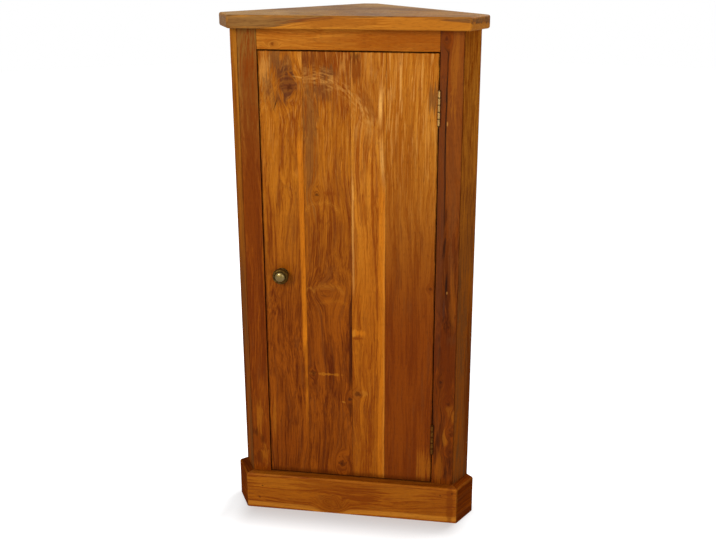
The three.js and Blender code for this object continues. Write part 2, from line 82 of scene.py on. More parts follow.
class Tone(Enum):
    """The colours of this cupboard's wood and metal, as red, green and blue from 0 to 255."""

    PALE = (232, 166, 82)
    SAPWOOD = (222, 146, 54)
    FLAME = (208, 118, 20)
    STRAW = (198, 134, 60)
    HONEY = (198, 124, 36)
    GOLD = (184, 108, 22)
    AMBER = (166, 90, 14)
    COPPER = (150, 74, 9)
    RUSSET = (132, 60, 6)
    CHESTNUT = (112, 46, 4)
    MAHOGANY = (92, 34, 3)
    WALNUT = (70, 27, 4)
    TAN = (198, 148, 74)
    OLIVE = (140, 94, 36)
    HEARTWOOD = (108, 64, 30)
    PLUM = (82, 42, 24)
    KNOT = (40, 18, 8)
    FILLER = (52, 24, 8)
    BRASS = (206, 160, 92)
    DULL_BRASS = (154, 128, 62)
    PATINA = (84, 58, 22)
    STEEL = (176, 176, 174)
    OXIDE = (96, 84, 70)
    PLASTIC = (74, 42, 24)
    PLASTIC_SCUFF = (104, 66, 42)

    def linear(self) -> tuple[float, ...]:
        """Undo the screen's tone curve, to get the colour that a shader socket takes.

        Returns:
            Red, green, blue and an alpha of one.
        """
        toe, toe_slope, lift, power = 0.04045, 12.92, 0.055, 2.4
        channels = []
        for level in self.value:
            share = level / 255
            channels.append(share / toe_slope if share <= toe else ((share + lift) / (1 + lift)) ** power)
        return (*channels, 1.0)


@dataclass(frozen=True)
class Wire:
    """What comes out of a node, which sums can be written with as if it were a number or a vector."""

    graph: "Graph"
    socket: Socket

    @property
    def is_vector(self) -> bool:
        """Whether it carries three numbers."""
        return self.socket.type in ("VECTOR", "RGBA")

    def __add__(self, other: Value) -> "Wire":
        """Add a value."""
        return self.graph.math("ADD", self, other)

    def __sub__(self, other: Value) -> "Wire":
        """Take a value away."""
        return self.graph.math("SUBTRACT", self, other)

    def __rsub__(self, other: Value) -> "Wire":
        """Take this away from a plain value."""
        return self.graph.math("SUBTRACT", other, self)

    def __mul__(self, other: Value) -> "Wire":
        """Multiply, part by part for vectors."""
        return self.graph.math("MULTIPLY", self, other)

    def __truediv__(self, other: Value) -> "Wire":
        """Divide by a value."""
        return self.graph.math("DIVIDE", self, other)

    def __pow__(self, power: float) -> "Wire":
        """Raise to a power."""
        return self.graph.math("POWER", self, power)

    def __abs__(self) -> "Wire":
        """Drop the sign."""
        return self.graph.math("ABSOLUTE", self)

    def held(self) -> "Wire":
        """Keep this sum between 0 and 1, by a setting of its node."""
        self.socket.node.use_clamp = True
        return self

    def length(self) -> "Wire":
        """Return how long the vector is."""
        return self.graph.wire("ShaderNodeVectorMath", {0: self}, "Value", operation="LENGTH")

    def split(self) -> list["Wire"]:
        """Return the vector's three parts."""
        return list(self.graph.wires(self.graph.node("ShaderNodeSeparateXYZ", {0: self})).values())


class Graph:
    """A node tree that is being drawn, with one short call for each kind of node that it needs."""

    def __init__(self, tree: bpy.types.NodeTree) -> None:
        """Start on a tree, without the nodes that it comes with."""
        self.tree = tree
        tree.nodes.clear()

    def node(self, kind: str, inputs: dict[Any, Value] | None = None, **settings: Any) -> bpy.types.Node:
        """Add a node.

        Args:
            kind: The node's type name.
            inputs: The value of each input that isn't left alone.
            settings: The node's own properties.

        Returns:
            The new node.
        """
        node = self.tree.nodes.new(kind)
        for name, setting in settings.items():
            setattr(node, name, setting)
        for name, value in (inputs or {}).items():
            self.feed(node.inputs[name], value)
        return node

    def feed(self, socket: Socket, value: Value) -> None:
        """Give a socket a plain value or a tone, or join it to a wire."""
        if isinstance(value, Wire):
            self.tree.links.new(value.socket, socket)
        else:
            socket.default_value = value.linear() if isinstance(value, Tone) else value

    def wires(self, node: bpy.types.Node) -> dict[str, Wire]:
        """Return what comes out of a node, by name."""
        return {socket.name: Wire(self, socket) for socket in node.outputs}

    def wire(self, kind: str, inputs: dict[Any, Value] | None = None, output: int | str = 0,
             **settings: Any) -> Wire:
        """Add a node, and return one of the things that come out of it."""
        return Wire(self, self.node(kind, inputs, **settings).outputs[output])

    def math(self, operation: str, *values: Value) -> Wire:
        """Work out one sum, on vectors if any of its values is one.

        Args:
            operation: The operation of the Math or the Vector Math node.
            values: Its one or two inputs; beside a vector, a number stands for three equal ones.

        Returns:
            The result.
        """
        vectors = [value.is_vector if isinstance(value, Wire) else isinstance(value, (tuple, Vector))
                   for value in values]
        if not any(vectors):
            return self.wire("ShaderNodeMath", dict(enumerate(values)), operation=operation)
        spread = [(value,) * 3 if isinstance(value, (int, float)) else value for value in values]
        return self.wire("ShaderNodeVectorMath", dict(enumerate(spread)), operation=operation)

    def join(self, x: Value = 0.0, y: Value = 0.0, z: Value = 0.0) -> Wire:
        """Return the vector with these three parts."""
        return self.wire("ShaderNodeCombineXYZ", {0: x, 1: y, 2: z})

    def noise(self, place: Wire, detail: float = 2.0, rough: float = 0.5, colour: bool = False) -> Wire:
        """Return cloudy noise at a place that is already scaled.

        Args:
            place: Where the noise is read.
            detail: How many finer layers it has.
            rough: How strong the finer layers are.
            colour: Whether three separate noises are wanted, as a vector.

        Returns:
            A number round 0.5, or three of them.
        """
        inputs = {"Vector": place, "Scale": 1.0, "Detail": detail, "Roughness": rough}
        return self.wire("ShaderNodeTexNoise", inputs, "Color" if colour else 0)

    def ease(self, value: Wire, low: Value, high: Value) -> Wire:
        """Return 0 at low, 1 at high, and a smooth rise between them."""
        inputs = {"Value": value, "From Min": low, "From Max": high, "To Min": 0.0, "To Max": 1.0}
        return self.wire("ShaderNodeMapRange", inputs, interpolation_type="SMOOTHSTEP")

    def mix(self, share: Value, first: Value, second: Value) -> Wire:
        """Blend two colours.

        Args:
            share: How much of the second one shows.
            first: The colour underneath.
            second: The colour laid over it.

        Returns:
            The blended colour.
        """
        factor, under, over, result = 0, 6, 7, 2
        inputs = {factor: share, under: first, over: second}
        return self.wire("ShaderNodeMix", inputs, result, data_type="RGBA")

    def group(self, tree: bpy.types.NodeTree, **inputs: Value) -> dict[str, Wire]:
        """Place a shared group.

        Args:
            tree: The group.
            inputs: Its inputs, with spaces in their names written as underscores.

        Returns:
            What comes out of it, by name.
        """
        named = {name.replace("_", " "): value for name, value in inputs.items()}
        return self.wires(self.node("ShaderNodeGroup", named, node_tree=tree))

    def here(self) -> Wire:
        """Return the Object coordinates."""
        return self.wire("ShaderNodeTexCoord", output="Object")

    def attribute(self, name: str) -> Wire:
        """Return a number that the mesh carries."""
        return self.wire("ShaderNodeAttribute", output="Fac", attribute_name=name)

    def bump(self, height: Wire, distance: float, strength: float) -> Wire:
        """Return the normal of a surface with this relief."""
        return self.wire("ShaderNodeBump", {"Height": height, "Distance": distance, "Strength": strength})


class Surface(Graph):
    """The node tree of a new material, with its Principled shader joined to the output."""

    def __init__(self, name: str) -> None:
        """Make the material and its shader."""
        self.material = bpy.data.materials.new(name)
        self.material.use_nodes = True
        super().__init__(self.material.node_tree)
        self.shader = self.node("ShaderNodeBsdfPrincipled")
        self.node("ShaderNodeOutputMaterial", {"Surface": Wire(self, self.shader.outputs[0])})

    def dressed(self, inputs: dict[str, Value]) -> bpy.types.Material:
        """Give the shader these inputs, and return the material."""
        for name, value in inputs.items():
            self.feed(self.shader.inputs[name], value)
        return self.material


@dataclass(frozen=True)
class Threads:
    """Noise drawn out along a trunk: how fine it is, and the levels of it that become 0 and 1."""

    per_metre: float
    along_metre: float
    detail: float
    rough: float
    low: float
    high: float


class SharedEffects:
    """The effects that several finishes use, each one node group that is drawn once."""

    # How far apart two seeds read the noise, and how finely and how strongly the grain sways.
    SEED_STEP = 7.31
    SWAYS = (((9.0, 9.0, 3.4), 1.0), ((28.0, 28.0, 10.0), 0.3), ((80.0, 80.0, 22.0), 0.09))
    THREADS = {
        "Streaks": Threads(160.0, 4.0, 4.0, 0.7, 0.34, 0.66),
        "Flecks": Threads(120.0, 9.0, 4.0, 0.6, 0.52, 0.68),
        "Glints": Threads(420.0, 9.0, 2.0, 0.6, 0.52, 0.66),
        "Fibre": Threads(400.0, 12.0, 3.0, 0.7, 0.32, 0.68),
    }

    def __init__(self) -> None:
        """Draw every group."""
        self.figure = self._figure()
        self.knot = self._knot()
        self.patch = self._patch()
        self.arc = self._arc()
        self.stripe = self._stripe()
        self.varnish = self._varnish()
        self.tarnish = self._tarnish()
        self.knuckles = self._knuckles()

    @staticmethod
    def _start(name: str, inputs: dict[str, Any]) -> tuple[Graph, dict[str, Wire]]:
        """Make an empty group with its input sockets.

        Args:
            name: The group's name.
            inputs: Each input's name and starting value: a number, or three for a vector.

        Returns:
            The graph, and what comes in, by name.
        """
        tree = bpy.data.node_groups.new(name, "ShaderNodeTree")
        for label, start in inputs.items():
            kind = "NodeSocketVector" if isinstance(start, tuple) else "NodeSocketFloat"
            tree.interface.new_socket(label, in_out="INPUT", socket_type=kind).default_value = start
        graph = Graph(tree)
        return graph, graph.wires(graph.node("NodeGroupInput"))

    @staticmethod
    def _end(graph: Graph, outputs: dict[str, Wire]) -> bpy.types.NodeTree:
        """Make the group's output sockets.

        Args:
            graph: The group's graph.
            outputs: What goes out, by name.

        Returns:
            The group.
        """
        for label, wire in outputs.items():
            kind = "NodeSocketVector" if wire.is_vector else "NodeSocketFloat"
            graph.tree.interface.new_socket(label, in_out="OUTPUT", socket_type=kind)
        graph.node("NodeGroupOutput", outputs)
        return graph.tree

    def _figure(self) -> bpy.types.NodeTree:
        """Draw what a saw lays open in a trunk: rings round its heart, fibres of all widths and open pores.

        Returns:
            The group.
        """
        graph, given = self._start("Teak figure", {
            "Place": ORIGIN, "Heart": (0.0, 0.05, 0.0), "Lean": ORIGIN, "Ring Width": 0.004, "Wander": 0.01,
            "Seed": 0.0})
        across, depth, along = given["Place"].split()
        shift = given["Seed"] * self.SEED_STEP
        from_heart = graph.join(across, depth) - (given["Heart"] + given["Lean"] * along)
        for scale, share in self.SWAYS:
            sway = graph.noise(given["Place"] * scale + shift, detail=1.0, colour=True) - 0.5
            reach = given["Wander"] * share
            from_heart = from_heart + sway * graph.join(reach, reach)
        radius = (from_heart * (1.0, 1.0, 0.0)).length()

        def ringed(per_metre: float, along_metre: float) -> Wire:
            """Read noise that is even all along a ring."""
            return graph.noise(graph.join(radius * per_metre, 0.0, along * along_metre) + shift)

        def fibres(threads: Threads) -> Wire:
            """Read noise that is drawn out along the trunk."""
            where = from_heart * (threads.per_metre, threads.per_metre, 0.0)
            where = where + graph.join(0.0, 0.0, along * threads.along_metre) + shift
            return graph.ease(graph.noise(where, threads.detail, threads.rough), threads.low, threads.high)

        # Each ring darkens slowly and then fades fast.
        uneven = ringed(per_metre=70.0, along_metre=1.2) * 2.4
        phase = graph.math("FRACT", radius / given["Ring Width"] + uneven)
        clouds = ringed(per_metre=52.0, along_metre=3.6)
        pores = graph.noise(given["Place"] * (1900.0, 1900.0, 90.0), detail=0.0)
        return self._end(graph, {
            "Rings": phase ** 2.2 * (1.0 - graph.ease(phase, 0.88, 1.0)),
            "Clouds": graph.ease(clouds, 0.34, 0.66),
            "Pores": graph.ease(pores, 0.62, 0.74),
            **{name: fibres(threads) for name, threads in self.THREADS.items()},
        })

    def _knot(self) -> bpy.types.NodeTree:
        """Draw a knot: the grain parts round it and closes into rings, and it has a dark eye.

        Returns:
            The group.
        """
        graph, given = self._start("Knot", {
            "Place": ORIGIN, "Centre": ORIGIN, "Eye": 0.004, "Reach": 0.012, "Stretch": 1.6, "Whirl": 1.0})
        ragged = graph.noise(given["Place"] * (190.0, 190.0, 110.0), colour=True) - 0.5
        ragged_reach = given["Eye"] * 2.2
        away = given["Place"] - given["Centre"]
        across, _, along = away.split()
        far = graph.join(across, along / given["Stretch"]).length()
        rough_across, _, rough_along = (away + ragged * graph.join(ragged_reach, 0.0, ragged_reach)).split()
        rough_far = graph.join(rough_across, rough_along).length()
        # The grain parts round the knot, most at its middle.
        pull = graph.math("EXPONENT", (far / given["Reach"]) ** 2.0 * -1.0)
        parted = given["Place"] - graph.join(across * pull)
        # Close by, the grain is read by how far it is from the middle, so that it closes into rings.
        middle_across, _, middle_along = given["Centre"].split()
        depth = given["Place"].split()[1]
        wobble = (graph.noise(given["Place"] * (55.0, 55.0, 40.0)) - 0.5) * given["Reach"]
        ringed = graph.join(middle_across + (far + wobble * 1.2), depth, middle_along)
        whirl = given["Whirl"] * graph.ease(pull, 0.2, 0.75)
        # The eye has faint rings of its own.
        share = rough_far / given["Eye"]
        own_rings = graph.math("COSINE", share * 6.0) * 0.2 + 0.8
        return self._end(graph, {
            "Place": parted + (ringed - parted) * whirl,
            "Eye": (graph.ease(share, 1.3, 0.6) * own_rings).held(),
            "Halo": pull,
        })

    def _patch(self) -> bpy.types.NodeTree:
        """Draw the mask of a coloured area whose edge follows the streaks.

        Returns:
            The group.
        """
        graph, given = self._start("Patch", {
            "Place": ORIGIN, "Centre": ORIGIN, "Half Width": 0.01, "Half Length": 0.02, "Slope": 0.0,
            "Softness": 0.5, "Ragged": 1.0, "Streaks": 0.5})
        across, _, along = (given["Place"] - given["Centre"]).split()
        across = across - along * given["Slope"]
        far = graph.join(across / given["Half Width"], along / given["Half Length"]).length()
        far = far + (given["Streaks"] - 0.5) * given["Ragged"]
        return self._end(graph, {"Mask": graph.ease(far, given["Softness"] + 1.0, 1.0 - given["Softness"])})

    def _arc(self) -> bpy.types.NodeTree:
        """Draw the mask of a band that arches over part of an ellipse.

        Returns:
            The group.
        """
        graph, given = self._start("Arc", {
            "Place": ORIGIN, "Centre": ORIGIN, "Half Width": 0.1, "Half Length": 0.1, "Thickness": 0.06,
            "Streaks": 0.5})
        across, _, along = (given["Place"] - given["Centre"]).split()
        far = graph.join(across / given["Half Width"], along / given["Half Length"]).length()
        off = abs(far - 1.0) + given["Thickness"] * given["Streaks"]
        band = graph.ease(off, given["Thickness"] * 2.4, 0.0)
        upper = graph.ease(along, 0.0, given["Half Length"] * 0.5)
        stroke = graph.join(graph.math("ARCTAN2", along, across) * 9.0, far * 26.0)
        strokes = graph.ease(graph.noise(stroke, detail=3.0, rough=0.6), 0.4, 0.64)
        return self._end(graph, {"Mask": strokes * (band * upper)})

    def _stripe(self) -> bpy.types.NodeTree:
        """Draw the mask of a long band that follows the grain.

        Returns:
            The group.
        """
        graph, given = self._start("Stripe", {
            "Place": ORIGIN, "Centre": 0.0, "Half Width": 0.005, "Low": 0.0, "High": 1.0, "Fade": 0.04,
            "Softness": 0.002, "Slope": 0.0})
        across, _, along = given["Place"].split()
        sway = graph.noise(graph.join(given["Centre"] * 31.0, 0.0, along * 9.0)) - 0.5
        middle = given["Centre"] + given["Slope"] * along + sway * (6 * MM)
        body = graph.ease(abs(across - middle), given["Half Width"] + given["Softness"],
                          given["Half Width"] - given["Softness"])
        foot = graph.ease(along, given["Low"], given["Low"] + given["Fade"])
        head = graph.ease(along, given["High"], given["High"] - given["Fade"])
        return self._end(graph, {"Mask": body * (foot * head)})

    def _varnish(self) -> bpy.types.NodeTree:
        """Draw an old coat of varnish: rubbed and hazy places, and grain that shows through as relief.

        Returns:
            The group.
        """
        graph, given = self._start("Varnish", {
            "Place": ORIGIN, "Rings": 0.0, "Fibre": 0.5, "Pores": 0.0, "Worn": 0.0, "Satin": 0.4})
        rub = graph.noise(given["Place"] * (26.0, 26.0, 9.0), detail=3.0)
        hand = graph.noise(given["Place"] * 8.0, detail=1.0)
        rough = given["Satin"] + (rub - 0.5) * 0.22 + (hand - 0.5) * 0.14 + given["Pores"] * 0.2
        relief = given["Rings"] * -0.35 + given["Fibre"] * 0.5 + given["Pores"] * -0.9 + rub * 1.2
        return self._end(graph, {
            "Roughness": (rough + given["Worn"] * 0.12).held(),
            "Height": relief,
            "Coat": 1.0 - given["Worn"] * 0.7,
        })

    def _tarnish(self) -> bpy.types.NodeTree:
        """Draw metal that has been handled for years: dull film, dark specks and fine scratches.

        Returns:
            The group.
        """
        graph, given = self._start("Tarnish", {"Place": ORIGIN, "Scale": 1.0})
        place = given["Place"] * given["Scale"]
        return self._end(graph, {
            "Film": graph.ease(graph.noise(place * 240.0, detail=4.0, rough=0.6), 0.36, 0.64),
            "Specks": graph.ease(graph.noise(place * 1300.0, detail=1.0), 0.6, 0.72),
            "Scratches": graph.ease(graph.noise(place * (3000.0, 500.0, 260.0), detail=1.0), 0.6, 0.7),
        })

    def _knuckles(self) -> bpy.types.NodeTree:
        """Draw the mask of the dirt that gathers between a hinge's knuckles.

        Returns:
            The group.
        """
        graph, given = self._start("Knuckles", {"Place": ORIGIN, "Foot": ORIGIN, "Pitch": 0.01})
        across, depth, along = (given["Place"] - given["Foot"]).split()
        off = graph.math("PINGPONG", along / given["Pitch"], 0.5) * given["Pitch"]
        barrel = graph.ease(graph.join(across, depth).length(), 3.4 * MM, 2.8 * MM)
        return self._end(graph, {"Mask": graph.ease(off, 1.3 * MM, 0.4 * MM) * barrel})


class Run(Enum):
    """Which way a board's grain runs, before the board is turned to its heading."""

    UPRIGHT = "upright"
    LEVEL = "level"
    FLAT = "flat"


@dataclass(frozen=True)
class Lie:
    """How a board lies: its grain's run, and the way its face is turned in plan."""

    run: Run = Run.UPRIGHT
    heading: float = 0.0

    def order(self, x: Any, y: Any, z: Any) -> tuple[Any, Any, Any]:
        """Return a place's parts across the grain, into the board, and along the grain."""
        return {Run.UPRIGHT: (x, y, z), Run.LEVEL: (z, y, x), Run.FLAT: (y, z, x)}[self.run]

    def place(self, graph: Graph) -> Wire:
        """Turn Object coordinates into the place across, into and along the board."""
        turn = {"Vector": graph.here(), "Rotation": (0.0, 0.0, -radians(self.heading))}
        return graph.join(*self.order(*graph.wire("ShaderNodeMapping", turn).split()))

    def turned_back(self, place: Vector) -> Vector:
        """Return a place or a direction across, into and along the board."""
        return Vector(self.order(*(Matrix.Rotation(-radians(self.heading), 3, "Z") @ place)))

    def extent(self, node: str) -> tuple[Vector, Vector]:
        """Measure a node in the board's own directions.

        Args:
            node: The node's name.

        Returns:
            Its lowest and its highest corner: across, into and along the board.
        """
        places = [self.turned_back(vertex.co) for vertex in frame["nodes"][node].data.vertices]
        low, high = (Vector(pick(place[i] for place in places) for i in range(3)) for pick in (min, max))
        return low, high


@dataclass(frozen=True)
class Grain:
    """A board's wood while its material is being drawn, for the marks to follow."""

    graph: Graph
    effects: SharedEffects
    place: Wire
    streaks: Wire


@dataclass(frozen=True)
class Mark:
    """A mark in a board's wood, and the tone that it lays over it.

    Its place across and along the board and its half width and half length are in millimetres.
    """

    across: float
    along: float
    tone: Tone
    strength: float
    half_width: float
    half_length: float

    def mask(self, grain: Grain) -> Wire:
        """Add the nodes that say where the mark shows.

        Args:
            grain: The wood that it lies in.

        Returns:
            The mask.
        """
        raise NotImplementedError

    def oval(self, grain: Grain, tree: bpy.types.NodeTree, **shape: float) -> Wire:
        """Place one of the groups that draw round a centre.

        Args:
            grain: The wood that it lies in.
            tree: The group.
            shape: The inputs that only this group has.

        Returns:
            The mask.
        """
        return grain.graph.group(tree, Place=grain.place, Centre=(self.across * MM, 0.0, self.along * MM),
                                 Half_Width=self.half_width * MM, Half_Length=self.half_length * MM,
                                 Streaks=grain.streaks, **shape)["Mask"]


@dataclass(frozen=True)
class Patch(Mark):
    """A coloured area with a streaky edge."""

    slope: float = 0.0
    softness: float = 0.4
    ragged: float = 1.1

    def mask(self, grain: Grain) -> Wire:
        """Return the area's mask."""
        return self.oval(grain, grain.effects.patch, Slope=self.slope, Softness=self.softness,
                         Ragged=self.ragged)


@dataclass(frozen=True)
class Arc(Mark):
    """A band that arches over an ellipse round its place."""

    thickness: float = 0.06

    def mask(self, grain: Grain) -> Wire:
        """Return the band's mask."""
        return self.oval(grain, grain.effects.arc, Thickness=self.thickness)


@dataclass(frozen=True)
class Stripe(Mark):
    """A long band along the grain, with its place at its middle; softness and fade are in millimetres."""

    slope: float = 0.0
    softness: float = 1.6
    fade: float = 60.0

    def mask(self, grain: Grain) -> Wire:
        """Return the band's mask, broken up a little by the streaks."""
        band = grain.graph.group(
            grain.effects.stripe, Place=grain.place, Centre=(self.across - self.slope * self.along) * MM,
            Half_Width=self.half_width * MM, Low=(self.along - self.half_length) * MM,
            High=(self.along + self.half_length) * MM, Fade=self.fade * MM, Softness=self.softness * MM,
            Slope=self.slope)["Mask"]
        return band * (1.0 - grain.streaks * 0.45)


@dataclass(frozen=True)
class Knot:
    """A knot that the grain parts round; its place, its eye and its reach are in millimetres."""

    across: float
    along: float
    eye: float
    reach: float
    stretch: float = 1.6
    tone: Tone = Tone.KNOT
    strength: float = 0.8
    halo: float = 0.3
    whirl: float = 0.55


@dataclass(frozen=True)
class Teak:
    """One board's wood: its tones at the head and the foot of the cupboard, and how it was sawn."""

    # How strongly each layer pulls the colour from light to dark, and between which heights glints set in.
    LAYERS: ClassVar[dict[str, float]] = {"Streaks": 0.5, "Clouds": 0.4, "Fibre": 0.6}
    GLINT_HEIGHTS: ClassVar[tuple[float, float]] = (0.55, 0.95)
    VARNISH_ROUGH: ClassVar[float] = 0.25

    head_light: Tone
    head_dark: Tone
    foot_light: Tone
    foot_dark: Tone
    heart: tuple[float, float] = (-0.3, 0.1)
    lean: tuple[float, float] = (0.0, 0.0)
    ring_width: float = 4.2 * MM
    wander: float = 34 * MM
    contrast: float = 1.25
    flecked: float = 0.4
    glinting: float = 0.0
    satin: float = 0.38
    gloss: float = 0.04
    shine: float = 0.03
    # The narrow eased edges take this tone: dark by default, as painted shade along the gaps; light on the
    # top and the plinth, as wear together with a painted highlight on the rounded arris.
    edge_wear_shade_and_highlight_tone: Tone = Tone.WALNUT
    edge_wear_shade_and_highlight_strength: float = 0.6
    painted_side_shade: float = 0.7
    seed: float = 0.0
    knots: tuple[Knot, ...] = ()
    marks: tuple[Mark, ...] = ()
    head_height: float = 0.76
    foot_height: float = 0.36

    def material(self, node: str, lie: Lie, effects: SharedEffects) -> bpy.types.Material:
        """Make the board's material.

        Args:
            node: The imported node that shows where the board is.
            lie: How the board lies.
            effects: The shared groups.

        Returns:
            The material.
        """
        surface = Surface(f"teak_{node}")
        low, high = lie.extent(node)
        middle = (low + high) / 2
        place = bent = lie.place(surface)
        eyes = []
        for knot in self.knots:
            centre = (knot.across * MM, middle.y, knot.along * MM)
            eyes.append(surface.group(effects.knot, Place=bent, Centre=centre, Eye=knot.eye * MM,
                                      Reach=knot.reach * MM, Stretch=knot.stretch, Whirl=knot.whirl))
            bent = eyes[-1]["Place"]
        figure = surface.group(effects.figure, Place=bent, Ring_Width=self.ring_width, Wander=self.wander,
                               Heart=(middle.x + self.heart[0] - self.lean[0] * middle.z,
                                      middle.y + self.heart[1] - self.lean[1] * middle.z, 0.0),
                               Lean=(*self.lean, 0.0), Seed=self.seed)
        colour = self._base(surface, figure)
        grain = Grain(surface, effects, bent, figure["Streaks"])
        for mark in self.marks:
            colour = surface.mix(mark.mask(grain) * mark.strength, colour, mark.tone)
        for eye, knot in zip(eyes, self.knots):
            colour = surface.mix(eye["Halo"] ** 1.5 * knot.halo, colour, Tone.CHESTNUT)
            colour = surface.mix(eye["Eye"] * knot.strength, colour, knot.tone)
        colour = surface.mix(figure["Pores"] * 0.35, colour, Tone.WALNUT)
        # Painted shade: the board's sides and ends, which face its neighbours across the gaps, are darkened
        # as if in shadow.
        colour = surface.mix(surface.attribute("side") * self.painted_side_shade, colour, Tone.WALNUT)
        # Painted shade and highlight: the narrow eased edges, broken up by noise, are darkened along the gaps
        # or lightened as worn, lit arrises.
        rubbed = surface.noise(place * (90.0, 90.0, 30.0))
        edge = surface.attribute("worn") * surface.ease(rubbed, 0.3, 0.6)
        finish = surface.group(effects.varnish, Place=place, Rings=figure["Rings"], Fibre=figure["Fibre"],
                               Pores=figure["Pores"], Worn=edge, Satin=self.satin)
        return surface.dressed({
            "Base Color": surface.mix(edge * self.edge_wear_shade_and_highlight_strength, colour, self.edge_wear_shade_and_highlight_tone),
            "Roughness": finish["Roughness"],
            "Coat Weight": finish["Coat"] * self.gloss,
            "Coat Roughness": self.VARNISH_ROUGH,
            "Specular IOR Level": self.shine,
            "Normal": surface.bump(finish["Height"], distance=0.4 * MM, strength=0.35),
        })

    def _base(self, graph: Graph, figure: dict[str, Wire]) -> Wire:
        """Add the board's plain colour before its marks: the wood, lighter towards the top partly as painted
        light, with pale glints high up that are partly a painted highlight.

        Args:
            graph: The material's graph.
            figure: What comes out of the figure group.

        Returns:
            The colour.
        """
        # Partly painted light: the boards grow lighter towards the top of the cupboard, which stands both for
        # the wood's own tone and for the stronger light falling there.
        height = graph.here().split()[2]
        head = graph.ease(height, self.foot_height, self.head_height)
        light = graph.mix(head, self.foot_light, self.head_light)
        dark = graph.mix(head, self.foot_dark, self.head_dark)
        share = 0.5
        for layer, weight in self.LAYERS.items():
            share = (figure[layer] - 0.5) * (weight * self.contrast) + share
        colour = graph.mix(share.held(), light, dark)
        colour = graph.mix(figure["Flecks"] * self.flecked, colour, graph.mix(0.5, dark, Tone.HEARTWOOD))
        colour = graph.mix(figure["Rings"] * 0.25, colour, graph.mix(0.4, dark, Tone.WALNUT))
        # Partly painted highlight: pale glinting streaks of the grain are laid on only high up the cupboard,
        # where the varnish catches the light.
        glints = figure["Glints"] * self.glinting * graph.ease(height, *self.GLINT_HEIGHTS)
        return graph.mix(glints, colour, Tone.PALE)


@dataclass(frozen=True)
class Metal:
    """A metal fitting's finish: its clean tone, the film over it, and how bright it still is."""

    LACQUER_ROUGH: ClassVar[float] = 0.16

    clean: Tone
    film: Tone
    filmed: float = 0.5
    rough: float = 0.3

    def material(self, name: str, effects: SharedEffects, polished: tuple[Vector, float] | None = None,
                 knuckles: tuple[Vector, float] | None = None) -> bpy.types.Material:
        """Make the metal's material.

        Args:
            name: The material's name.
            effects: The shared groups.
            polished: The middle and the radius of the part that hands keep bright, seen from the front.
            knuckles: The foot of a hinge's barrel and how long each knuckle is.

        Returns:
            The material.
        """
        surface = Surface(name)
        here = surface.here()
        marks = surface.group(effects.tarnish, Place=here, Scale=1.0)
        film = ((marks["Film"] * 0.6 + 0.4) * self.filmed).held() + marks["Specks"] * 0.35
        film = (film - surface.attribute("worn") * 0.5).held()
        rough = film * 0.3 + self.rough
        coat = 0.0
        if polished is not None:
            middle, radius = polished
            away = (here - middle) * (1.0, 0.0, 1.0)
            bright = surface.ease(away.length(), radius * 1.05, radius * 0.85)
            film = film * (1.0 - bright * 0.65)
            rough = rough - bright * 0.22
            coat = bright * 0.85
        if knuckles is not None:
            foot, pitch = knuckles
            dirt = surface.group(effects.knuckles, Place=here, Foot=foot, Pitch=pitch)["Mask"]
            film = (film + dirt).held()
        return surface.dressed({
            "Base Color": surface.mix(film, self.clean, self.film),
            "Roughness": (rough + marks["Scratches"] * 0.1).held(),
            "Metallic": 1.0,
            "Coat Weight": coat,
            "Coat Roughness": self.LACQUER_ROUGH,
            "Normal": surface.bump(film + marks["Scratches"], distance=0.02 * MM, strength=0.4),
        })


@dataclass(frozen=True)
class Plastic:
    """Moulded plastic with a fine spark-eroded skin and scuffs."""

    plain: Tone
    scuff: Tone

    def material(self, name: str, effects: SharedEffects) -> bpy.types.Material:
        """Make the plastic's material.

        Args:
            name: The material's name.
            effects: The shared groups.

        Returns:
            The material.
        """
        surface = Surface(name)
        here = surface.here()
        marks = surface.group(effects.tarnish, Place=here, Scale=0.6)
        skin = surface.noise(here * 2600.0, detail=1.0)
        return surface.dressed({
            "Base Color": surface.mix(marks["Scratches"] * 0.5, self.plain, self.scuff),
            "Roughness": marks["Film"] * 0.12 + 0.42,
            "Specular IOR Level": 0.2,
            "Normal": surface.bump(skin, distance=0.04 * MM, strength=0.4),
        })


def into_scene(name: str, data: bpy.types.ID) -> bpy.types.Object:
    """Make an object of a mesh, a light or a camera, and put it in the scene."""
    added = bpy.data.objects.new(name, data)
    bpy.context.scene.collection.objects.link(added)
    return added


def mesh_into_scene(name: str, mesh: bmesh.types.BMesh, material: bpy.types.Material) -> bpy.types.Object:
    """Make an object of a mesh that has been drawn.

    Args:
        name: The object's name.
        mesh: The mesh, in its place; it is freed.
        material: What it is made of.

    Returns:
        The object.
    """
    data = bpy.data.meshes.new(name)
    mesh.to_mesh(data)
    mesh.free()
    data.materials.append(material)
    return into_scene(name, data)


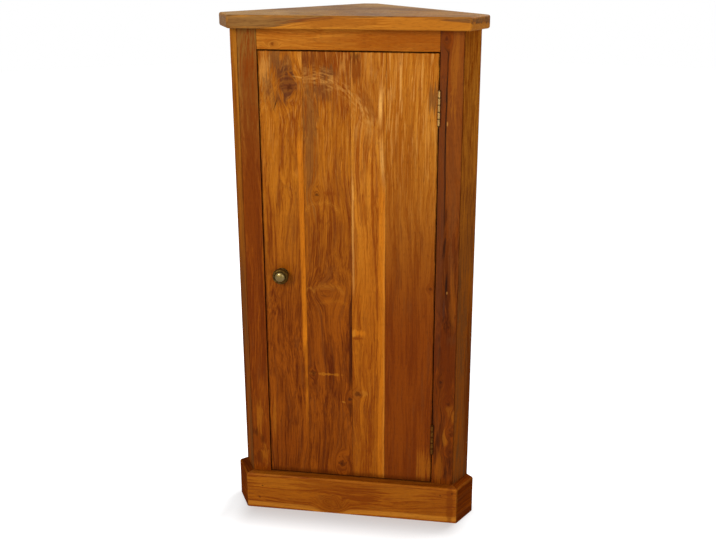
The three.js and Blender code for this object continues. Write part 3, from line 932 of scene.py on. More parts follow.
class Workshop:
    """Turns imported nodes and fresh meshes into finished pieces."""

    # Angles are in degrees. A shorter edge is taken for a hole's, and a narrower face for an eased edge,
    # whose colour stands for wear and, on the wood, also for painted shade and highlight.
    SMOOTH_ANGLE = 40.0
    FLAT_ANGLE = 0.5
    MERGE_REACH = 0.01 * MM
    AXIS_REACH = 0.002 * MM
    HOLE_EDGE = 0.75 * MM
    STRIP_WIDTH = 1.6 * MM

    def __init__(self, effects: SharedEffects) -> None:
        """Keep the shared groups at hand."""
        self.effects = effects
        self.count = 0

    def finish(self, mesh: bmesh.types.BMesh, node: str, material: bpy.types.Material) -> None:
        """Make a piece of a mesh, in the place of the node of the same name.

        Args:
            mesh: The piece's mesh, in its place; it is freed.
            node: The node that the piece stands for.
            material: What it is made of.
        """
        piece = mesh_into_scene(f"{node}_finished", mesh, material)
        piece.data.shade_smooth()
        piece.data.set_sharp_from_angle(angle=radians(self.SMOOTH_ANGLE))
        even = piece.modifiers.new("Even shading", "WEIGHTED_NORMAL")
        even.keep_sharp = True
        packed = frame["nodes"][node]
        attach(piece, packed["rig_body"])
        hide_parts(node)
        packed.data.materials[0].name.split(".")[0]
        self.count += 1
        log.info("%s: %d faces", piece.name, len(piece.data.polygons))

    def finish_copy(self, node: str, ease: float, material: bpy.types.Material, segments: int = 2) -> None:
        """Make a piece that is the node's own shape with eased edges."""
        self.finish(self.eased_copy(node, ease, segments), node, material)

    def eased_copy(self, node: str, ease: float, segments: int = 3) -> bmesh.types.BMesh:
        """Copy a node's mesh, merge it, and take the sharpness off its outer edges.

        Args:
            node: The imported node.
            ease: How far back from each edge the easing starts.
            segments: How many faces go round an edge.

        Returns:
            The mesh.
        """
        mesh = bmesh.new()
        mesh.from_mesh(frame["nodes"][node].data)
        bmesh.ops.remove_doubles(mesh, verts=mesh.verts, dist=self.MERGE_REACH)
        bmesh.ops.dissolve_limit(mesh, angle_limit=radians(self.FLAT_ANGLE), verts=mesh.verts,
                                 edges=mesh.edges)
        sharp = [
            edge for edge in mesh.edges
            if len(edge.link_faces) == 2 and edge.calc_length() > self.HOLE_EDGE
            and edge.calc_face_angle_signed() > radians(self.SMOOTH_ANGLE)
        ]
        bmesh.ops.bevel(mesh, geom=sharp, offset=ease, offset_type="OFFSET", segments=segments, profile=0.5,
                        affect="EDGES", clamp_overlap=True, material=-1)
        worn = mesh.faces.layers.float.new("worn")
        for face in mesh.faces:
            longest = max(edge.calc_length() for edge in face.edges)
            if face.calc_area() / longest < self.STRIP_WIDTH:
                face[worn] = 1.0
        return mesh

    def spun(self, outline: Sequence[tuple[float, float]], centre: Vector, steps: int) -> bmesh.types.BMesh:
        """Turn an outline about the line through centre that runs from front to back.

        Args:
            outline: Radius and place along Y of each corner, from the front of the axis to its back.
            centre: A point on the axis.
            steps: How many steps a full turn has.

        Returns:
            The closed mesh.
        """
        mesh = bmesh.new()
        corners = [mesh.verts.new((centre.x + radius, y, centre.z)) for radius, y in outline]
        edges = [mesh.edges.new(pair) for pair in zip(corners, corners[1:])]
        bmesh.ops.spin(mesh, geom=corners + edges, cent=centre, axis=(0.0, 1.0, 0.0), angle=2 * pi,
                       steps=steps, use_merge=True)
        bmesh.ops.remove_doubles(mesh, verts=mesh.verts, dist=self.AXIS_REACH)
        bmesh.ops.recalc_face_normals(mesh, faces=mesh.faces)
        return mesh


@dataclass(frozen=True)
class Board:
    """A wooden piece: the node it stands for, how it lies, its wood, and how far its edges are eased."""

    SIDE_TURN: ClassVar[float] = 0.5

    node: str
    lie: Lie
    teak: Teak
    ease: float = 0.8 * MM

    def build(self, workshop: Workshop) -> None:
        """Make the board, and tell its sides and ends from its faces."""
        mesh = workshop.eased_copy(self.node, self.ease)
        # Faces turned away from the board's front and back are marked as sides, which the wood darkens with
        # painted shade.
        side = mesh.faces.layers.float.new("side")
        for face in mesh.faces:
            face[side] = float(abs(self.lie.turned_back(face.normal).y) < self.SIDE_TURN)
        workshop.finish(mesh, self.node, self.teak.material(self.node, self.lie, workshop.effects))


@dataclass
class Carcase:
    """The standing part: top, stiles, returns, rails, plinth, back walls, shelves and their supports."""

    # Where the filled nail holes of the plinth are, across and along it, in millimetres.
    NAILS: ClassVar[tuple[tuple[float, float], ...]] = (
        (50.9, -183.4), (24.2, -191.5), (61.4, 183.6), (67.4, 207.3))

    return_depth: float = 51 * MM
    return_width: float = 27 * MM
    wall_heading: float = 45.0
    plinth_ease: float = 1.5 * MM

    @property
    def return_heading(self) -> float:
        """How far a return is turned from the front, in degrees."""
        return degrees(atan2(self.return_depth, self.return_width))

    def front(self) -> list[Board]:
        """Return the boards that the front view shows."""
        level = Lie(Run.LEVEL)
        upright = Lie(Run.UPRIGHT)
        nails = [Knot(*place, 1.8, 3, 1, Tone.FILLER, halo=0.1, whirl=0.0) for place in self.NAILS]
        left = Teak(
            Tone.OLIVE, Tone.RUSSET, Tone.COPPER, Tone.CHESTNUT, heart=(0.03, 0.05), lean=(0.01, 0.03),
            seed=1.3, contrast=1.8, head_height=0.98, foot_height=0.62,
            marks=(Patch(-187, 680, Tone.CHESTNUT, 0.75, 16, 160),
                   Patch(-177, 860, Tone.RUSSET, 0.3, 6, 60, ragged=1.6),
                   Patch(-176, 450, Tone.MAHOGANY, 0.5, 4, 200),
                   Patch(-187, 150, Tone.CHESTNUT, 0.6, 20, 90),
                   Patch(-190, 200, Tone.GOLD, 0.45, 5, 30, ragged=1.8),
                   Patch(-180, 115, Tone.GOLD, 0.35, 6, 20, ragged=1.8),
                   Patch(-199, 165, Tone.WALNUT, 0.6, 4, 9, ragged=1.8),
                   Patch(-184, 150, Tone.WALNUT, 0.5, 3, 8, ragged=1.8),
                   Patch(-195, 105, Tone.MAHOGANY, 0.6, 6, 12, ragged=1.8)))
        right = Teak(
            Tone.COPPER, Tone.RUSSET, Tone.RUSSET, Tone.WALNUT, heart=(-0.05, 0.06), lean=(-0.01, 0.04),
            seed=2.1, head_height=0.9,
            knots=(Knot(174.2, 960.6, 3.5, 11, 2, Tone.WALNUT),
                   Knot(194.5, 256, 4, 15, 1.2, Tone.WALNUT, whirl=0.2),
                   Knot(178.2, 302.7, 3, 10, whirl=0.2),
                   Knot(200.5, 191, 4, 14, 1.2, Tone.WALNUT, whirl=0.2),
                   Knot(200, 152, 3, 12, 1.2, Tone.WALNUT, whirl=0.3)),
            marks=(Patch(192, 800, Tone.HEARTWOOD, 0.35, 18, 260),
                   Stripe(168, 810, Tone.PLUM, 0.7, 7, 260, slope=-0.004),
                   Stripe(170, 460, Tone.PLUM, 0.5, 6, 150),
                   Stripe(176.2, 780, Tone.KNOT, 1.1, 1.4, 200, softness=0.8),
                   Patch(180, 638, Tone.WALNUT, 0.7, 2.4, 20, ragged=0.8),
                   Patch(178.3, 580, Tone.KNOT, 0.8, 2.6, 26, slope=0.06),
                   Patch(196, 585, Tone.MAHOGANY, 0.6, 2.4, 18),
                   Patch(184, 506, Tone.KNOT, 0.9, 2.4, 28, ragged=0.8),
                   Patch(180, 455, Tone.PLUM, 0.8, 2.4, 26, ragged=0.8),
                   Patch(186.3, 420, Tone.WALNUT, 0.8, 2, 16, ragged=0.8),
                   Patch(194, 392, Tone.HEARTWOOD, 0.7, 8, 8, ragged=1.8),
                   Patch(188, 900, Tone.GOLD, 0.3, 6, 70),
                   Patch(197, 460, Tone.AMBER, 0.3, 6, 60),
                   Patch(187, 345, Tone.MAHOGANY, 0.7, 18, 85),
                   Patch(202, 235, Tone.GOLD, 0.3, 5, 14, ragged=1.6),
                   Patch(189, 180, Tone.GOLD, 0.4, 6, 14, ragged=1.4),
                   Patch(175.5, 172, Tone.WALNUT, 0.8, 3.4, 14, ragged=1.2),
                   Patch(198, 131, Tone.WALNUT, 0.7, 5, 7, ragged=1.6),
                   Patch(210, 118, Tone.MAHOGANY, 0.6, 8, 7, ragged=1.8),
                   Patch(185.4, 488.5, Tone.STRAW, 0.5, 1.2, 3, ragged=0.2),
                   Patch(178.5, 811, Tone.STRAW, 0.6, 1.2, 4, ragged=0.2),
                   Patch(178, 115, Tone.AMBER, 0.4, 8, 30)))
        rail = Teak(
            Tone.HONEY, Tone.AMBER, Tone.HONEY, Tone.AMBER, heart=(0.05, 0.09), lean=(0.02, 0.0), seed=3.4,
            contrast=1.4, flecked=0.2,
            knots=(Knot(947.6, -139.5, 3, 9, 1.8, Tone.MAHOGANY, 0.7),),
            marks=(Patch(957, 130, Tone.COPPER, 0.7, 30, 130, softness=0.6),))
        plinth = Teak(
            Tone.AMBER, Tone.RUSSET, Tone.AMBER, Tone.RUSSET, heart=(-0.06, 0.1), lean=(0.03, 0.0), seed=4.2,
            contrast=2.1, edge_wear_shade_and_highlight_tone=Tone.HONEY, edge_wear_shade_and_highlight_strength=0.15, painted_side_shade=0.3,
            knots=(*nails, Knot(24.3, -39.8, 4, 24, 1.4, Tone.CHESTNUT, 0.4)),
            marks=(Stripe(9, 0, Tone.HONEY, 1, 5, 1000, softness=2.4),
                   Patch(66, 0, Tone.CHESTNUT, 0.25, 12, 200),
                   Patch(62, -160, Tone.GOLD, 0.5, 14, 60),
                   Patch(40, 170, Tone.CHESTNUT, 0.25, 20, 60),
                   Patch(60, 110, Tone.GOLD, 0.4, 12, 50),
                   Patch(40, 203, Tone.CHESTNUT, 0.55, 60, 6, ragged=0.6)))
        return [
            Board("left_stile", upright, left),
            Board("right_stile", upright, right),
            Board("top_rail", level, rail),
            Board("bottom_rail", level, Teak(Tone.AMBER, Tone.CHESTNUT, Tone.AMBER, Tone.CHESTNUT, seed=3.9)),
            Board("plinth_front", level, plinth, self.plinth_ease),
        ]

    def top(self) -> list[Board]:
        """Return the boards of the top, which is heartwood above and shows its sapwood along the front."""
        level = Lie(Run.LEVEL)
        # Partly painted sheen: the top's pale tan stands for its wood together with the sheen of its varnish;
        # its edges are lightened as wear with a painted highlight, and its sides get no painted shade.
        brown = (Tone.TAN, Tone.HEARTWOOD, Tone.TAN, Tone.HEARTWOOD)
        shared_top_look = dict(flecked=0.3, edge_wear_shade_and_highlight_tone=Tone.HONEY, edge_wear_shade_and_highlight_strength=0.35, painted_side_shade=0.0)
        front = Teak(
            *brown, heart=(-0.2, 0.03), lean=(0.05, 0.0), seed=5.1, **shared_top_look,
            marks=(Patch(960, 0, Tone.HEARTWOOD, 0.65, 39.2, 2000, softness=0.01, ragged=0.02),
                   Patch(962, 70, Tone.PLUM, 0.6, 37.5, 245, softness=0.05, ragged=0.1),
                   Patch(962, 70, Tone.HONEY, 0.95, 35.5, 236, softness=0.04, ragged=0.1),
                   Patch(988, -30, Tone.RUSSET, 0.5, 9, 70, ragged=1.6),
                   Patch(984, 150, Tone.AMBER, 0.45, 16, 90, ragged=1.2)))
        middle = Teak(*brown, heart=(-0.1, 0.0), lean=(0.03, 0.0), seed=5.7, **shared_top_look)
        back = Teak(*brown, heart=(-0.1, 0.04), lean=(-0.03, 0.0), seed=6.3, **shared_top_look)
        boards = {"front": front, "middle": middle, "back": back}
        return [Board(f"top_board_{place}", level, wood) for place, wood in boards.items()]

    def sides(self) -> list[Board]:
        """Return the narrow canted boards and the plinth's ends."""
        boards = []
        dull = dict(gloss=0.01, shine=0.0)
        for side, heading, seed in (("left", 180 - self.return_heading, 7.0),
                                    ("right", self.return_heading, 7.6)):
            wood = Teak(
                Tone.HONEY, Tone.RUSSET, Tone.COPPER, Tone.HEARTWOOD, heart=(0.04, 0.07), seed=seed,
                contrast=1.1, head_height=0.95, **dull, marks=(Patch(36, 250, Tone.MAHOGANY, 0.7, 11, 150),))
            plinth = Teak(
                Tone.RUSSET, Tone.MAHOGANY, Tone.RUSSET, Tone.MAHOGANY, seed=seed + 1, edge_wear_shade_and_highlight_tone=Tone.HONEY,
                edge_wear_shade_and_highlight_strength=0.15, painted_side_shade=0.3, **dull)
            boards.append(Board(f"{side}_return", Lie(Run.UPRIGHT, heading), wood))
            boards.append(Board(f"plinth_{side}", Lie(Run.LEVEL, heading), plinth, self.plinth_ease))
        return boards

    def inside(self) -> list[Board]:
        """Return the back walls, the shelves and what carries them."""
        plain = dict(satin=0.5, gloss=0.03)
        pale = (Tone.GOLD, Tone.RUSSET, Tone.AMBER, Tone.CHESTNUT)
        brown = (Tone.AMBER, Tone.CHESTNUT, Tone.COPPER, Tone.CHESTNUT)
        boards = []
        for side, heading in (("left", self.wall_heading), ("right", -self.wall_heading)):
            for number in (1, 2, 3):
                wood = Teak(*pale, heart=(0.03 * number - 0.05, 0.06), lean=(0.01, 0.05),
                            seed=9 + number + heading / 100, **plain)
                boards.append(Board(f"{side}_back_board_{number}", Lie(Run.UPRIGHT, heading), wood))
            for number, level in enumerate(("bottom", "lower", "upper", "top")):
                wood = Teak(*brown, seed=13.0 + number / 3, **plain)
                boards.append(Board(f"{side}_{level}_cleat", Lie(Run.LEVEL, heading), wood))
            boards.append(Board(f"{side}_batten", Lie(), Teak(*brown, seed=14.0, **plain)))
        for number, name in enumerate(("bottom_board", "lower_shelf", "upper_shelf")):
            wood = Teak(*pale, heart=(0.05, -0.12), lean=(0.0, 0.05), seed=15.0 + number, **plain)
            boards.append(Board(name, Lie(Run.FLAT), wood))
        for name in ("back_corner_post", "door_stop"):
            boards.append(Board(name, Lie(), Teak(*brown, seed=18.5, **plain)))
        return boards

    def build(self, workshop: Workshop) -> None:
        """Make every board of the carcase."""
        for board in self.front() + self.top() + self.sides() + self.inside():
            board.build(workshop)


@dataclass
class Door:
    """The door: four glued boards and the two ledges that hold them flat."""

    seam_ease: float = 0.35 * MM

    def boards(self) -> list[Board]:
        """Return the boards of the door."""
        # Painted reflection: a pale arched band across the upper door boards, broken into strokes, stands for
        # a curved light mirrored in the varnish; the first board gets a weaker honey copy of it.
        reflection_arch = Arc(-70, 752, Tone.STRAW, 0.8, 115, 138, thickness=0.1)
        start = replace(reflection_arch, tone=Tone.HONEY, strength=0.45)
        # Painted shade: a dark band along the foot of every door board, where the door stands just above the
        # plinth.
        door_foot_shade = Patch(0, 79, Tone.WALNUT, 0.6, 600, 9, softness=0.6, ragged=0.4)
        head = dict(head_light=Tone.GOLD, head_dark=Tone.RUSSET)
        foot = dict(foot_light=Tone.COPPER, foot_dark=Tone.MAHOGANY)
        first = Teak(
            **head, **foot, heart=(0.0, 0.045), lean=(0.02, 0.05), seed=21.0, glinting=0.25,
            knots=(Knot(-110.2, 870.5, 5, 24, 1.6, Tone.WALNUT, 0.85, whirl=0.15),),
            marks=(Patch(-136, 922, Tone.HEARTWOOD, 0.65, 15, 18, ragged=1.6),
                   Patch(-119, 911, Tone.HEARTWOOD, 0.55, 11, 18, ragged=1.2),
                   Patch(-154, 900, Tone.STRAW, 0.5, 8, 30, ragged=1.8),
                   Patch(-119, 891, Tone.PLUM, 0.75, 9, 17, ragged=1.4),
                   Patch(-113, 873.5, Tone.PLUM, 0.85, 9, 16, ragged=1.4),
                   Patch(-146, 862, Tone.HEARTWOOD, 0.6, 11, 24, ragged=1.8),
                   Patch(-122, 853, Tone.PLUM, 0.55, 9, 12, ragged=1.6),
                   Patch(-132.5, 840, Tone.KNOT, 0.85, 1.2, 11, slope=0.6, ragged=0.4),
                   Patch(-98, 888, Tone.PALE, 0.4, 7, 1.5, ragged=0.6),
                   Patch(-89.5, 915, Tone.SAPWOOD, 0.55, 4, 30),
                   Stripe(-91.5, 560, Tone.FLAME, 0.85, 4.6, 240, slope=-0.004),
                   Stripe(-89.5, 360, Tone.FLAME, 0.55, 2.6, 210, fade=120),
                   Stripe(-162.5, 650, Tone.GOLD, 0.35, 3, 300, fade=200),
                   Patch(-146, 750, Tone.GOLD, 0.35, 15, 95, softness=0.2, ragged=0.6),
                   Patch(-158, 200, Tone.GOLD, 0.35, 3, 30, ragged=1.6),
                   Patch(-130, 140, Tone.RUSSET, 0.6, 20, 30, ragged=1.6),
                   start, door_foot_shade))
        second = Teak(
            **head, **foot, heart=(0.03, 0.05), lean=(-0.02, 0.04), seed=22.0, glinting=0.25,
            knots=(Knot(-62.5, 670.3, 3, 14, whirl=0.3),
                   Knot(-45, 479, 3, 30, 0.9, Tone.COPPER, 0.4, whirl=0.2),
                   Knot(-76.6, 305, 6, 12, 1.1, Tone.WALNUT, 0.95, whirl=0.3),
                   Knot(-2.5, 252.9, 3.5, 12, whirl=0.3),
                   Knot(-18.9, 107, 7, 18, 1.8, Tone.WALNUT, 0.95),
                   Knot(1, 118.3, 3, 8, tone=Tone.MAHOGANY)),
            marks=(Patch(-73, 790, Tone.HEARTWOOD, 0.6, 11, 140),
                   Patch(-55, 868, Tone.PLUM, 0.5, 18, 16, ragged=1.6),
                   Patch(-55, 915, Tone.CHESTNUT, 0.6, 24, 18, ragged=1.6),
                   Patch(-30, 897, Tone.HEARTWOOD, 0.7, 14, 10, ragged=1.6),
                   Patch(-12, 912, Tone.STRAW, 0.45, 6, 24, slope=0.3, ragged=1.6),
                   Stripe(0, 385, Tone.WALNUT, 1.3, 3.4, 130),
                   Patch(-40, 675, Tone.RUSSET, 0.6, 14, 4),
                   Arc(-52, 632, Tone.HONEY, 0.7, 30, 26, thickness=0.16),
                   Patch(-50, 304.5, Tone.GOLD, 0.65, 24, 2.6, ragged=1.2),
                   Arc(-70, 474, Tone.HONEY, 0.8, 12, 11, thickness=0.2),
                   Arc(-40, 470, Tone.HONEY, 0.6, 16, 18, thickness=0.24),
                   Arc(-34, 450, Tone.GOLD, 0.6, 18, 12, thickness=0.24),
                   Patch(-12, 246, Tone.HONEY, 0.5, 5, 2, ragged=0.8),
                   Patch(-1, 225, Tone.WALNUT, 0.7, 2, 20), reflection_arch, door_foot_shade))
        third = Teak(
            Tone.HONEY, Tone.COPPER, Tone.AMBER, Tone.RUSSET, heart=(-0.2, 0.08), seed=23.0, contrast=1.5,
            glinting=0.35,
            knots=(Knot(13.8, 265, 5, 15, 0.9, Tone.WALNUT, 0.9, whirl=0.3),),
            marks=(Patch(11.5, 927, Tone.KNOT, 0.7, 6, 9, ragged=1.6),
                   Patch(11.5, 905, Tone.CHESTNUT, 0.7, 9, 20, ragged=1.4),
                   Patch(34, 840, Tone.CHESTNUT, 0.55, 9, 24, slope=-0.4),
                   Patch(30, 885, Tone.RUSSET, 0.4, 22, 50, ragged=1.8),
                   Stripe(34, 900, Tone.SAPWOOD, 0.6, 1.6, 50),
                   Patch(32, 480, Tone.FLAME, 0.25, 22, 200, ragged=1.6),
                   Stripe(60.5, 360, Tone.FLAME, 0.65, 6.2, 360),
                   Stripe(65, 340, Tone.SAPWOOD, 0.35, 1.6, 340),
                   Stripe(61, 740, Tone.PALE, 0.7, 3, 60, slope=-0.08),
                   Stripe(58, 843, Tone.PALE, 1.3, 3.2, 52, softness=2.4, fade=50),
                   Patch(15, 396, Tone.FLAME, 0.6, 14, 5, softness=0.6),
                   Patch(6, 395, Tone.HONEY, 0.6, 2.6, 8, ragged=0.8),
                   Patch(14.5, 385, Tone.RUSSET, 0.8, 9, 3, ragged=0.9),
                   Patch(24, 267, Tone.HONEY, 0.4, 8, 4, ragged=1.6),
                   Stripe(5.5, 600, Tone.PALE, 0.7, 1.7, 140), reflection_arch, door_foot_shade))
        fourth = Teak(
            Tone.HONEY, Tone.AMBER, Tone.RUSSET, Tone.CHESTNUT, heart=(0.25, 0.06), seed=24.0, contrast=1.6,
            glinting=0.5, ring_width=3.4 * MM, wander=20 * MM, head_height=0.95,
            knots=(Knot(155, 494.6, 3, 12, 1, Tone.WALNUT, whirl=0.2),),
            marks=(Stripe(93, 890, Tone.PALE, 0.9, 1.8, 70, fade=70),
                   Stripe(84.5, 910, Tone.SAPWOOD, 0.6, 2, 50),
                   Stripe(124.5, 900, Tone.SAPWOOD, 0.7, 3, 50, softness=2.4),
                   Stripe(157, 790, Tone.STRAW, 0.5, 2, 40),
                   Patch(153, 856, Tone.HEARTWOOD, 0.7, 6, 18, ragged=1.9),
                   Patch(148, 115, Tone.GOLD, 0.35, 12, 30, ragged=1.4), door_foot_shade))
        boards = [Board(f"door_board_{number}", Lie(), wood, self.seam_ease)
                  for number, wood in enumerate((first, second, third, fourth), start=1)]
        for name, seed in (("lower_door_ledge", 25.0), ("upper_door_ledge", 26.0)):
            wood = Teak(Tone.GOLD, Tone.COPPER, Tone.AMBER, Tone.RUSSET, seed=seed, satin=0.5, gloss=0.03)
            boards.append(Board(name, Lie(Run.LEVEL), wood))
        return boards

    def build(self, workshop: Workshop) -> None:
        """Make every board of the door."""
        for board in self.boards():
            board.build(workshop)


@dataclass
class Knob:
    """The turned pull with its rose and its screw."""

    neck_radius: float = 6 * MM
    neck_round: float = 3 * MM
    rim_radius: float = 15.5 * MM
    rim_thickness: float = 7.6 * MM
    rim_round: float = 3.4 * MM
    dome_radius: float = 10 * MM
    dome_height: float = 4.8 * MM
    groove_depth: float = 1.2 * MM
    groove_width: float = 1 * MM
    lip_width: float = 1 * MM
    lip_height: float = 0.6 * MM
    rose_radius: float = 13 * MM
    rose_round: float = 1.2 * MM
    rose_edge: float = 0.3 * MM
    rose_overlap: float = 1 * MM
    steps: int = 96
    arc_steps: int = 12
    screw_ease: float = 0.15 * MM
    pull_brass: Metal = Metal(Tone.DULL_BRASS, Tone.PATINA, filmed=1.7, rough=0.34)
    rose_brass: Metal = Metal(Tone.BRASS, Tone.PATINA, filmed=1.5, rough=0.4)
    screw_steel: Metal = Metal(Tone.STEEL, Tone.OXIDE)

    def arc(self, centre: tuple[float, float], radii: tuple[float, float], start: float,
            end: float) -> list[tuple[float, float]]:
        """Return the points of up to half an ellipse.

        Args:
            centre: Radius and Y of the ellipse's centre.
            radii: Its reach outwards and along Y.
            start: Where it starts, in degrees from outwards towards the front.
            end: Where it ends.

        Returns:
            The points as radius and Y.
        """
        points = []
        for step in range(self.arc_steps + 1):
            angle = radians(start + (end - start) * step / self.arc_steps)
            points.append((centre[0] + radii[0] * cos(angle), centre[1] - radii[1] * sin(angle)))
        return points

    def pull(self, front: float, back: float) -> list[tuple[float, float]]:
        """Return the pull's outline.

        Args:
            front: Y of the dome's top.
            back: Y of the neck's end.

        Returns:
            Radius and Y of each corner.
        """
        face = front + self.dome_height
        rim_back = face + self.rim_thickness
        middle = (face + rim_back) / 2
        groove = self.dome_radius + self.groove_width
        bottom = face + self.groove_depth
        dome = self.arc((0.0, face), (self.dome_radius, self.dome_height), 90, 0)
        lip = self.arc((groove + self.lip_width, face + self.lip_height),
                       (self.lip_width, self.lip_height), 180, 90)
        rim = self.arc((self.rim_radius - self.rim_round, middle), (self.rim_round, middle - face), 90, -90)
        waist = self.arc((self.neck_radius + self.neck_round, rim_back + self.neck_round),
                         (self.neck_round, self.neck_round), 90, 180)
        return [*dome, (self.dome_radius, bottom), (groove, bottom), *lip, *rim, *waist,
                (self.neck_radius, back), (0.0, back)]

    def rose(self, front: float, back: float) -> list[tuple[float, float]]:
        """Return the rose's closed outline.

        Args:
            front: Y of its front.
            back: Y of its back.

        Returns:
            Radius and Y of each corner.
        """
        hole = self.neck_radius - self.rose_overlap
        shoulder = back - self.rose_edge
        edge = self.arc((self.rose_radius - self.rose_round, shoulder),
                        (self.rose_round, shoulder - front), 90, 0)
        return [(hole, front), *edge, (self.rose_radius, back), (hole, back), (hole, front)]

    def build(self, workshop: Workshop) -> None:
        """Make the knob, the rose and the screw."""
        low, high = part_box("knob")
        centre = (low + high) / 2
        brass = self.pull_brass.material("aged_brass_knob", workshop.effects, (centre, self.dome_radius))
        workshop.finish(workshop.spun(self.pull(low.y, high.y), centre, self.steps), "knob", brass)
        low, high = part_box("knob_rose")
        brass = self.rose_brass.material("aged_brass_rose", workshop.effects)
        workshop.finish(workshop.spun(self.rose(low.y, high.y), centre, self.steps), "knob_rose", brass)
        steel = self.screw_steel.material("steel_knob_screw", workshop.effects)
        workshop.finish_copy("knob_screw", self.screw_ease, steel)


@dataclass
class Hinges:
    """The two butt hinges, with their pins and screws; the lower one has a darker, more filmed finish."""

    PARTS: ClassVar[tuple[str, ...]] = ("frame_leaf", "door_leaf", "pin", "frame_screw_1", "frame_screw_2",
                                        "door_screw_1", "door_screw_2")

    leaf_ease: float = 0.5 * MM
    knuckle_count: int = 5
    upper: Metal = Metal(Tone.BRASS, Tone.PATINA, filmed=0.6, rough=0.3)
    lower: Metal = Metal(Tone.OLIVE, Tone.WALNUT, filmed=1.6, rough=0.45)

    def build(self, workshop: Workshop) -> None:
        """Make every part of both hinges."""
        for level, brass in (("lower", self.lower), ("upper", self.upper)):
            low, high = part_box(f"{level}_hinge_frame_leaf")
            pin_low, pin_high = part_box(f"{level}_hinge_pin")
            foot = Vector((*(pin_low.xy + pin_high.xy) / 2, low.z))
            pitch = (high.z - low.z) / self.knuckle_count
            material = brass.material(f"brass_{level}_hinge", workshop.effects, knuckles=(foot, pitch))
            for part in self.PARTS:
                workshop.finish_copy(f"{level}_hinge_{part}", self.leaf_ease, material)


@dataclass
class Catch:
    """The magnetic catch under the upper shelf and its plate on the door."""

    housing_ease: float = 0.8 * MM
    plate_ease: float = 0.3 * MM

    def build(self, workshop: Workshop) -> None:
        """Make the housing and the plate."""
        plastic = Plastic(Tone.PLASTIC, Tone.PLASTIC_SCUFF).material("brown_plastic_catch", workshop.effects)
        workshop.finish_copy("catch_housing", self.housing_ease, plastic, segments=3)
        steel = Metal(Tone.STEEL, Tone.OXIDE, filmed=0.3).material("steel_strike", workshop.effects)
        workshop.finish_copy("catch_strike", self.plate_ease, steel)


@dataclass(frozen=True)
class Lamp:
    """A soft lamp: where it stands, what it points at, how wide and how strong it is."""

    name: str
    place: tuple[float, float, float]
    aim: tuple[float, float, float]
    size: float
    power: float

    def build(self) -> None:
        """Hang the lamp."""
        data = bpy.data.lights.new(self.name, "AREA")
        data.shape = "DISK"
        data.size = self.size
        data.energy = self.power
        lamp = into_scene(self.name, data)
        lamp.location = self.place
        lamp.rotation_euler = (Vector(self.aim) - Vector(self.place)).to_track_quat("-Z", "Y").to_euler()


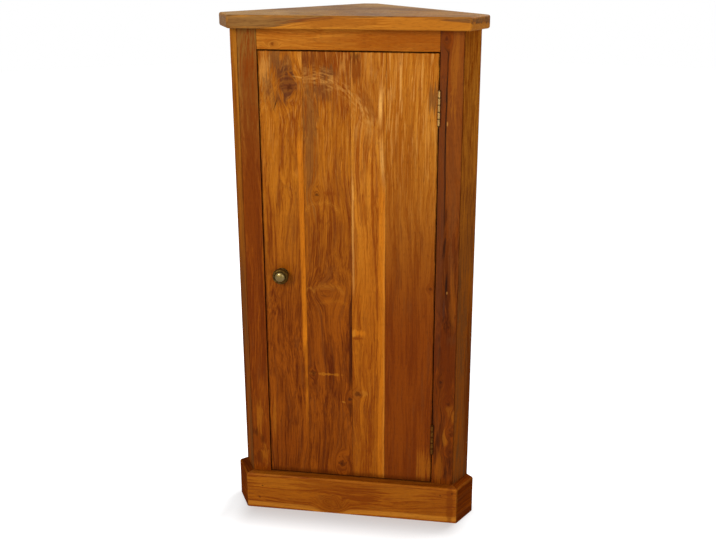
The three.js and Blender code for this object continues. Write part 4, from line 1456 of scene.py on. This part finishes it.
@dataclass
class Studio:
    """The pale floor, the soft light and the camera."""

    WHITE: ClassVar[tuple[float, ...]] = (1.0, 1.0, 1.0, 1.0)

    # The image's width and the focal length are in pixels, the sensor in millimetres, turns in degrees.
    image_width: int = 716
    focal_pixels: float = 1024.9
    sensor: float = 36.0
    camera_place: tuple[float, float, float] = (0.3106, -1.94885, 1.1567)
    camera_heading: float = 9.197
    camera_tilt: float = 18.818
    camera_roll: float = -0.236
    floor_radius: float = 7.0
    floor_sides: int = 96
    floor_white: float = 0.55
    floor_glow: float = 0.5
    # Painted shadow: in front of the plinth the floor's glow is lowered by the dip, over the reach, and a
    # little past the plinth's ends.
    contact_shadow_dip: float = 0.27
    contact_shadow_reach: float = 0.105
    contact_shadow_spill: float = 30 * MM
    contact_shadow_inset: float = 20 * MM
    shadow_reach: float = 0.17
    side_reach: float = 0.07
    hidden_edge: float = 0.02
    hidden_fade: float = 0.01
    ambient: float = 0.5
    mirrored: float = 0.12
    lamps: tuple[Lamp, ...] = (
        Lamp("key_lamp", (-1.2, -2.5, 1.9), (0.0, 0.0, 0.6), 1.2, 46.0),
        Lamp("fill_lamp", (1.2, -2.1, 0.95), (0.0, 0.0, 0.5), 0.42, 9.0),
        Lamp("back_lamp", (1.3, 1.7, 2.4), (0.0, 0.0, 0.4), 1.4, 40.0),
    )

    def seen(self, graph: Graph) -> Wire:
        """Return 1 for rays that show the white background, less for glossy ones, and 0 for the rest."""
        rays = graph.wires(graph.node("ShaderNodeLightPath"))
        shown = graph.math("MAXIMUM", rays["Is Camera Ray"], rays["Is Glossy Ray"] * self.mirrored)
        return graph.math("MAXIMUM", shown, rays["Is Transmission Ray"])

    def floor(self) -> None:
        """Lay the floor, which keeps the cupboard's shadow and has a painted contact shadow in front of the
        plinth.
        """
        surface = Surface("pale_floor")
        across, into, _ = surface.here().split()
        low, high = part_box("plinth_front")
        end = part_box("plinth_right")[1].x
        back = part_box("back_corner_post")[1].y
        ahead = low.y - into
        aside = abs(across)
        beyond = surface.math("MAXIMUM", aside - end, (aside + into - back) / sqrt(2))
        shade = surface.math("MAXIMUM", ahead / self.shadow_reach, beyond / self.side_reach)
        open_floor = surface.ease(surface.math("MAXIMUM", ahead, beyond),
                                  -self.hidden_edge - self.hidden_fade, -self.hidden_edge)
        # Painted shadow: just in front of the plinth the floor's glow is lowered, so the floor is darker
        # there even where light falls.
        contact_shadow = (surface.ease(ahead, self.contact_shadow_reach, 0.0)
                   * surface.ease(aside, high.x + self.contact_shadow_spill, high.x - self.contact_shadow_inset))
        glow = surface.ease(shade, 0.0, 1.0) * (1.0 - self.floor_glow) + self.floor_glow
        glow = (glow - contact_shadow * self.contact_shadow_dip) * open_floor
        material = surface.dressed({
            "Base Color": (*(self.floor_white,) * 3, 1.0),
            "Roughness": 0.9,
            "Specular IOR Level": 0.1,
            "Emission Color": self.WHITE,
            "Emission Strength": self.seen(surface) * glow,
        })
        mesh = bmesh.new()
        bmesh.ops.create_circle(mesh, cap_ends=True, segments=self.floor_sides, radius=self.floor_radius)
        floor = mesh_into_scene("floor", mesh, material)

    def world(self) -> None:
        """Fill the room with even light, with a white background behind it."""
        world = bpy.data.worlds.new("white_room")
        world.use_nodes = True
        graph = Graph(world.node_tree)
        seen = self.seen(graph)
        strength = seen + (1.0 - seen) * self.ambient
        background = graph.wire("ShaderNodeBackground", {"Color": self.WHITE, "Strength": strength})
        graph.node("ShaderNodeOutputWorld", {"Surface": background})
        bpy.context.scene.world = world

    def camera(self) -> None:
        """Set the camera where the photograph was taken from."""
        data = bpy.data.cameras.new("camera")
        data.sensor_width = self.sensor
        data.lens = self.focal_pixels * self.sensor / self.image_width
        camera = into_scene("camera", data)
        turn = (Matrix.Rotation(radians(self.camera_heading), 4, "Z")
                @ Matrix.Rotation(pi / 2 - radians(self.camera_tilt), 4, "X")
                @ Matrix.Rotation(radians(self.camera_roll), 4, "Z"))
        camera.matrix_world = Matrix.Translation(self.camera_place) @ turn
        bpy.context.scene.camera = camera

    def build(self) -> None:
        """Make the whole studio."""
        bpy.context.scene.view_settings.view_transform = "Standard"
        self.camera()
        self.world()
        self.floor()
        for lamp in self.lamps:
            lamp.build()


def main() -> None:
    """Build the studio and the cupboard, one sub-assembly after another."""
    logging.basicConfig(level=logging.INFO, format="%(name)s: %(message)s")
    Studio().build()
    workshop = Workshop(SharedEffects())
    for part in (Carcase(), Door(), Hinges(), Knob(), Catch()):
        part.build(workshop)
        log.info("%s is done, %d pieces so far", type(part).__name__, workshop.count)


if __name__ == "__main__":
    main()
